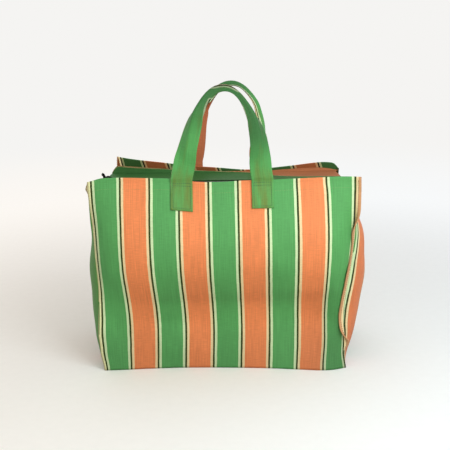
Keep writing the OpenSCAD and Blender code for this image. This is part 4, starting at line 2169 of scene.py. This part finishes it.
                def run(share: float, side: Side = side, start: Flat = start,
                        end: Flat = end) -> Aimed:
                    """Follow one line of stitches.

                    Args:
                        share: Share of the line.
                        side: Side of the strap's end.
                        start: The line's start, across and down.
                        end: The line's end.

                    Returns:
                        The place and the outward direction.
                    """
                    q = between(start[0], end[0], share)
                    down = between(start[1], end[1], share)
                    across = self.foot(side) + side.value * q
                    normal = self.wall.normal(across, self.foot_z - down)
                    lift = self.thickness / 2 + self.stitch_lift
                    return self.patch_point(side, down, q) + normal * lift, normal

                sew(thread, run, math.dist(start, end), self.stitch_pitch, self.stitch_width)
        word = self.wall.word
        made = add_object(f"{word}_strap_stitches", thread, [self.finish.green_thread])
        return attach(made, self.body, "thread", f"{word}_handle_stitching")


@dataclass(frozen=True)
class SoftLamp:
    """A square lamp that is aimed at the middle of the bag."""

    name: str
    place: Vector
    size: float
    power: float
    colour: Colour

    AIM = Vector((0, 0, 0.25))

    def build(self) -> None:
        """Hang the lamp."""
        data = bpy.data.lights.new(self.name, "AREA")
        data.size = self.size
        data.energy = self.power
        data.color = self.colour[:3]
        lamp = bpy.data.objects.new(self.name, data)
        turn = (self.AIM - self.place).to_track_quat("-Z", "Y").to_matrix().to_4x4()
        lamp.matrix_world = Matrix.Translation(self.place) @ turn
        bpy.context.scene.collection.objects.link(lamp)


@dataclass
class Studio:
    """A pale floor, soft lamps and the camera."""

    camera_place: Vector
    pitch: float
    roll: float
    lens: float
    lamps: tuple[SoftLamp, ...]
    pale: Colour = srgb(245, 244, 242)
    # A warm tint at the floor's left and a cool one at its right: painted light, for the warm light
    # from the left and the cool light from the right.
    warm: Colour = srgb(254, 249, 243)
    cool: Colour = srgb(248, 250, 251)
    bounce: Colour = srgb(140, 138, 134)
    sky: Colour = srgb(252, 250, 246)
    sky_power: float = 0.65
    floor_half: float = 9.0
    floor_drop: float = 0.0004
    floor_roughness: float = 0.9
    floor_gloss: float = 0.1
    grain_scale: Scale = (60.0, 60.0, 60.0)
    grain_light: Flat = (0.99, 1.01)
    tone_reach: Flat = (-0.7, 0.7)
    fade_reach: Flat = (0.3, 1.8)
    horizon_reach: Flat = (1.0, 4.0)
    sensor: float = 36.0

    def build(self) -> None:
        """Set up the floor, the light and the camera."""
        self.build_world()
        self.build_floor()
        for lamp in self.lamps:
            lamp.build()
        self.build_camera()
        bpy.context.scene.view_settings.view_transform = "Standard"

    def build_world(self) -> None:
        """Light the bag evenly from all round, and show a pale background."""
        world = bpy.data.worlds.new("studio")
        world.use_nodes = True
        bpy.context.scene.world = world
        tree = world.node_tree
        light = tree.nodes["Background"]
        light.inputs["Color"].default_value = self.sky
        light.inputs["Strength"].default_value = self.sky_power
        shown = tree.nodes.new("ShaderNodeBackground")
        shown.inputs["Color"].default_value = self.pale
        mix = tree.nodes.new("ShaderNodeMixShader")
        tree.links.new(add_seen_directly(tree), mix.inputs[0])
        tree.links.new(light.outputs[0], mix.inputs[1])
        tree.links.new(shown.outputs[0], mix.inputs[2])
        tree.links.new(mix.outputs[0], tree.nodes["World Output"].inputs["Surface"])

    def build_floor(self) -> None:
        """Lay a pale floor, darker to bounced light, that fades into the background far off."""
        shape = bmesh.new()
        bmesh.ops.create_grid(shape, x_segments=2, y_segments=2, size=self.floor_half)
        bmesh.ops.translate(shape, verts=shape.verts, vec=(0, 0, -self.floor_drop))
        bench = NodeBench("studio_floor")
        bench.set_shader(Specular_IOR_Level=self.floor_gloss)
        place = bench.object_place()
        grain = bench.noise(place, self.grain_scale, detail=3.0)
        # Painted light: the floor's tone runs from the warm tint at the left to the cool one at the
        # right.
        aside = bench.ranged(bench.parts(place)[0], self.tone_reach, (0.0, 1.0))
        tone = bench.mix(aside, self.warm, self.cool)
        tone = bench.shaded(tone, bench.spread(grain, *self.grain_light))
        seen = bench.seen_directly()
        bench.paint(bench.mix(seen, self.bounce, tone), self.floor_roughness)
        length = bench.node("ShaderNodeVectorMath", operation="LENGTH")
        bench.feed(length.inputs[0], place)
        away = length.outputs["Value"]
        fade = bench.math("MULTIPLY", bench.ranged(away, self.fade_reach, (0.0, 1.0)), seen)
        far = bench.ranged(away, self.horizon_reach, (0.0, 1.0))
        glow = bench.node("ShaderNodeEmission")
        bench.feed(glow.inputs["Color"], bench.mix(far, tone, self.pale))
        mix = bench.node("ShaderNodeMixShader")
        for index, value in enumerate((fade, bench.shader.outputs[0], glow.outputs[0])):
            bench.feed(mix.inputs[index], value)
        bench.feed(bench.tree.nodes["Material Output"].inputs["Surface"], mix.outputs[0])
        add_object("floor", shape, [bench.material])

    def build_camera(self) -> None:
        """Stand the camera at the photograph's viewing angle."""
        data = bpy.data.cameras.new("camera")
        data.lens = self.lens
        data.sensor_width = self.sensor
        camera = bpy.data.objects.new("camera", data)
        ahead = Vector((0, math.cos(self.pitch), -math.sin(self.pitch)))
        aside = Vector((1, 0, 0))
        up = aside.cross(ahead)
        right = aside * math.cos(self.roll) - up * math.sin(self.roll)
        above = up * math.cos(self.roll) + aside * math.sin(self.roll)
        turn = Matrix((right, above, -ahead)).transposed().to_4x4()
        camera.matrix_world = Matrix.Translation(self.camera_place) @ turn
        bpy.context.scene.collection.objects.link(camera)
        bpy.context.scene.camera = camera


# Camera and lamps: a cool one above the right, a warm low one in front, and weaker ones round them.
CAMERA_PLACE = Vector((-0.0022, -1.3814, 0.5872))
CAMERA_PITCH = math.radians(13.3)
CAMERA_ROLL = math.radians(0.9)
CAMERA_LENS = 56.0
LAMPS = (
    SoftLamp("key_lamp", Vector((0.66, -0.92, 0.98)), 0.7, 8.6, srgb(234, 248, 255)),
    SoftLamp("low_lamp", Vector((0.75, -2.0, 0.42)), 0.9, 10.6, srgb(255, 248, 236)),
    SoftLamp("left_lamp", Vector((-1.5, -0.8, 0.6)), 1.1, 1.2, srgb(255, 240, 214)),
    SoftLamp("front_lamp", Vector((0.0, -2.2, 1.1)), 1.4, 2.0, srgb(255, 249, 238)),
    SoftLamp("back_lamp", Vector((-0.6, 1.7, 1.4)), 1.4, 4.0, srgb(255, 255, 255)),
)

# Fold, width, roll and lean of each handle, from its left foot at -1 to its right foot at 1.
FRONT_FOLD: Curve = (
    (-1.0, 0.0), (-0.85, 0.04), (-0.74, 0.24), (-0.54, 0.37), (-0.45, 0.48), (-0.33, 0.80),
    (-0.18, 0.95), (0.18, 0.95), (0.30, 0.85), (0.42, 0.60), (0.54, 0.40), (0.74, 0.20),
    (0.85, 0.05), (1.0, 0.0))
BACK_FOLD: Curve = (
    (-1.0, 0.0), (-0.85, 0.04), (-0.60, 0.28), (-0.50, 0.40), (-0.42, 0.65), (-0.30, 0.93),
    (0.0, 0.97), (0.45, 0.95), (0.60, 0.80), (0.75, 0.40), (0.90, 0.05), (1.0, 0.0))
FRONT_NARROW: Curve = (
    (-0.60, 1.0), (-0.45, 0.96), (-0.30, 0.80), (-0.12, 0.70), (0.02, 0.60), (0.15, 0.48),
    (0.28, 0.52), (0.42, 0.74), (0.56, 0.90), (0.72, 0.94), (0.85, 1.0))
BACK_NARROW: Curve = (
    (-0.60, 1.0), (-0.40, 0.90), (-0.20, 0.66), (0.0, 0.54), (0.15, 0.46), (0.30, 0.50),
    (0.45, 0.62), (0.60, 0.80), (0.75, 0.95), (0.85, 1.0))
FRONT_ROLL: Curve = (
    (-0.50, 0.001), (-0.43, 0.0005), (-0.36, -0.0012), (-0.28, -0.002), (-0.23, -0.0015),
    (-0.17, 0.018), (-0.11, 0.028), (-0.04, 0.031), (0.04, 0.031), (0.12, 0.030),
    (0.18, 0.027), (0.23, 0.018), (0.28, 0.008), (0.34, 0.0))
BACK_ROLL: Curve = ((0.20, 0.0), (0.32, 0.004), (0.45, 0.005), (0.62, 0.005), (0.80, 0.0))
FRONT_LEAN: Curve = ((-1.0, -0.001), (0.0, 0.0055), (1.0, 0.012))
BACK_LEAN: Curve = (
    (-1.0, -0.002), (-0.75, -0.004), (-0.55, -0.0034), (-0.25, 0.006), (0.0, 0.013),
    (0.25, 0.0185), (0.42, 0.0230), (0.52, 0.0218), (0.62, 0.0208), (0.75, 0.0222),
    (0.9, 0.0245), (1.0, 0.025))

# Fold of the side seams in degrees, and the share of their width that shows, by height in metres.
TURNED_BACK: Curve = ((0.0, -100.0), (0.375, -100.0))
CURLED: Curve = (
    (0.0, -100.0), (0.345, -100.0), (0.356, -45.0), (0.363, -12.0), (0.369, -40.0),
    (0.375, -100.0))
CURL_REACH: Curve = (
    (0.0, 1.0), (0.330, 1.0), (0.348, 0.3), (0.356, 0.3), (0.363, 0.5), (0.369, 0.3),
    (0.375, 0.12))
TURNED_OVER: Curve = (
    (0.0, -85.0), (0.028, -70.0), (0.050, 20.0), (0.066, 110.0), (0.088, 160.0), (0.12, 167.0),
    (0.266, 167.0), (0.284, 148.0), (0.302, 100.0), (0.317, 64.0), (0.333, 42.0), (0.351, 27.0),
    (0.375, 20.0))
WAVY: Curve = (
    (0.0, 1.0), (0.07, 1.0), (0.09, 0.92), (0.11, 0.96), (0.132, 0.9), (0.151, 1.05),
    (0.17, 1.24), (0.188, 1.42), (0.203, 1.32), (0.218, 1.04), (0.235, 0.86), (0.25, 0.95),
    (0.27, 1.3), (0.29, 1.25), (0.32, 1.05), (0.375, 1.0))
CUT_SHORT: Curve = ((0.0, 1.0), (0.305, 1.0), (0.338, 0.12), (0.375, 0.12))

# Swell of the gussets and drift of their stripes, in metres, by the share of their height.
RIGHT_DRIFT: Curve = (
    (0.0, 0.0045), (0.30, 0.0045), (0.50, 0.003), (0.62, 0.002), (0.72, -0.001),
    (0.80, -0.0045), (0.88, -0.006), (1.0, -0.006))
RIGHT_SWELL: Curve = (
    (0.0, 0.0), (0.1, 0.020), (0.2, 0.032), (0.3, 0.039), (0.4, 0.0418), (0.5, 0.0408),
    (0.6, 0.0365), (0.67, 0.033), (0.74, 0.030), (0.8, 0.026), (0.86, 0.0185), (0.92, 0.008),
    (1.0, -0.010))
LEFT_SWELL: Curve = (
    (0.0, 0.0), (0.1, 0.010), (0.2, 0.0183), (0.3, 0.0244), (0.4, 0.028), (0.5, 0.0288),
    (0.6, 0.0268), (0.7, 0.0221), (0.8, 0.0151), (0.9, 0.0062), (1.0, -0.004))
STRIPE_IN = 0.008

# Drop of the zip bands' margins under the rim, and the line between their two colours, along X.
BACK_DROP: Curve = (
    (-0.2435, 0.034), (-0.238, 0.025), (-0.2325, 0.019), (-0.22, 0.017), (-0.16, 0.014),
    (-0.065, 0.009), (0.03, 0.007), (0.125, 0.006), (0.235, 0.014))
FRONT_DROP: Curve = ((-0.24, 0.014), (0.24, 0.014))
TWO_TONE: Curve = (
    (-0.236, 0.001), (-0.19, 0.001), (0.0, 0.001), (0.06, 0.014), (0.12, 0.045),
    (0.236, 0.085))


def front_shape(sizes: Sizes) -> WallShape:
    """Shape the front wall: it swells above, dents below and turns back at its seams.

    Args:
        sizes: The bag's sizes.

    Returns:
        The wall's shape.
    """
    return WallShape(
        face=Face.FRONT,
        plane_y=sizes.face_y,
        height=sizes.rim,
        left_crease=-0.2555,
        right_crease=0.2389,
        bulge=((0.0, -0.001), (0.030, -0.0058), (0.066, -0.0108), (0.096, -0.0122),
               (0.131, -0.0032), (0.168, 0.0158), (0.198, 0.0284), (0.225, 0.0344),
               (0.258, 0.0345), (0.290, 0.0280), (0.320, 0.0175), (0.345, 0.0075),
               (0.366, -0.0010), (0.375, -0.0015)),
        sway=((0.0, 0.0040), (0.070, 0.0060), (0.110, 0.0056), (0.172, 0.0032),
              (0.215, 0.0019), (0.375, 0.0010)),
        left_pull=((0.0, 0.0105), (0.012, 0.0085), (0.030, 0.0042), (0.050, 0.0025),
                   (0.073, 0.0008), (0.105, 0.0032), (0.170, 0.0085), (0.233, 0.0076),
                   (0.290, 0.0062), (0.335, 0.0022), (0.375, 0.0010)),
        right_pull=((0.0, -0.0108), (0.010, -0.0134), (0.028, -0.0191), (0.047, -0.0204),
                    (0.066, -0.0208), (0.096, -0.0228), (0.131, -0.0212), (0.172, -0.0155),
                    (0.207, -0.0102), (0.240, -0.0070), (0.269, -0.0047), (0.330, -0.0036),
                    (0.375, -0.0015)),
        right_spread=((0.0, -0.0034), (0.012, -0.0026), (0.030, -0.0004), (0.05, 0.0010),
                      (0.13, 0.0014), (0.20, 0.0022), (0.30, 0.0024), (0.345, 0.0018),
                      (0.375, 0.0)),
        left_out=((0.0, -0.004), (0.03, -0.005), (0.08, -0.002), (0.24, 0.002),
                  (0.375, -0.004)),
        right_out=((0.0, -0.006), (0.10, -0.012), (0.20, -0.004), (0.30, 0.0), (0.375, 0.0)),
        rim=((-0.2555, -0.003), (-0.247, -0.0005), (-0.225, 0.0045), (-0.14, 0.003),
             (-0.10, 0.0015), (-0.055, -0.0045), (-0.015, -0.0058), (0.03, -0.004),
             (0.09, -0.0028), (0.17, -0.0004), (0.21, 0.001), (0.2389, 0.0005)),
        foot=((-0.24, 0.002), (-0.20, -0.002), (-0.15, -0.006), (-0.08, -0.008),
              (0.0, -0.005), (0.08, 0.001), (0.14, 0.009), (0.19, 0.015), (0.23, 0.008)),
    )


def back_shape(sizes: Sizes) -> WallShape:
    """Shape the back wall: nearly flat, with a mouth that sags and leans.

    Args:
        sizes: The bag's sizes.

    Returns:
        The wall's shape.
    """
    return WallShape(
        face=Face.BACK,
        plane_y=sizes.face_y,
        height=sizes.rim,
        left_crease=-0.2405,
        right_crease=0.2455,
        bulge=((0.0, 0.0), (0.09, 0.002), (0.18, 0.009), (0.27, 0.011), (0.33, 0.004),
               (0.360, 0.0), (0.375, 0.0)),
        sway=((0.0, 0.0), (0.375, 0.0)),
        left_pull=((0.0, 0.006), (0.15, 0.003), (0.25, 0.004), (0.375, 0.0095)),
        right_pull=((0.0, -0.010), (0.15, -0.008), (0.25, -0.006), (0.375, -0.0015)),
        left_out=((0.0, -0.004), (0.20, 0.0), (0.375, 0.0)),
        right_out=((0.0, -0.004), (0.20, 0.0), (0.375, 0.0)),
        rim=((-0.2405, 0.0128), (-0.205, 0.0072), (-0.14, -0.0008), (-0.086, -0.008),
             (-0.02, -0.0138), (0.05, -0.0195), (0.13, -0.0138), (0.20, -0.0062),
             (0.225, -0.0064), (0.237, -0.0095), (0.2455, -0.019)),
        foot=((-0.24, 0.0), (0.24, 0.0)),
        pattern_shift=-0.0168,
    )


def main() -> None:
    """Build the bag around its frame and the studio round it."""
    logging.basicConfig(level=logging.INFO, format="%(message)s")
    sizes = Sizes.from_frame()
    finish = Finish()
    Studio(CAMERA_PLACE, CAMERA_PITCH, CAMERA_ROLL, CAMERA_LENS, LAMPS).build()
    front = front_shape(sizes)
    back = back_shape(sizes)
    front_handle = Handle(
        front, finish, "front", "front_handle", shift=-0.0075, lean=FRONT_LEAN, fold=FRONT_FOLD,
        narrowing=FRONT_NARROW, roll=FRONT_ROLL)
    back_handle = Handle(
        back, finish, "bag", "back_handle", shift=0.003, lean=BACK_LEAN, fold=BACK_FOLD,
        narrowing=BACK_NARROW, roll=BACK_ROLL, span=0.142)
    parts = (
        WallPanel(front, sizes, finish, "front", facing_slant=0.0, handle_feet=front_handle.feet),
        WallPanel(back, sizes, finish, "bag", facing_slant=0.35, handle_feet=back_handle.feet),
        SideSeams(front, finish, "front",
                  SeamFlange(front, finish, Side.LEFT, "front", CURLED, CURL_REACH, pale=True),
                  SeamFlange(front, finish, Side.RIGHT, "front", TURNED_OVER, WAVY)),
        SideSeams(back, finish, "bag",
                  SeamFlange(back, finish, Side.LEFT, "bag", TURNED_BACK, CUT_SHORT),
                  SeamFlange(back, finish, Side.RIGHT, "bag", TURNED_BACK)),
        SideGusset(Side.RIGHT, front, back, sizes, finish, LAST_LINE - STRIPE_IN, RIGHT_SWELL,
                   RIGHT_DRIFT),
        SideGusset(Side.LEFT, front, back, sizes, finish, FIRST_LINE + STRIPE_IN, LEFT_SWELL),
        BasePanel(front, back, sizes, finish),
        ZipBand(back, sizes, finish, "back_flap", "bag", BACK_DROP, TWO_TONE),
        ZipBand(front, sizes, finish, "front_flap", "front", FRONT_DROP, TWO_TONE),
        ZipChain(sizes, finish),
        front_handle,
        back_handle,
    )
    for part in parts:
        for piece in part.build():
            LOG.info("%s: %d faces", piece.name, len(piece.data.polygons))


if __name__ == "__main__":
    main()
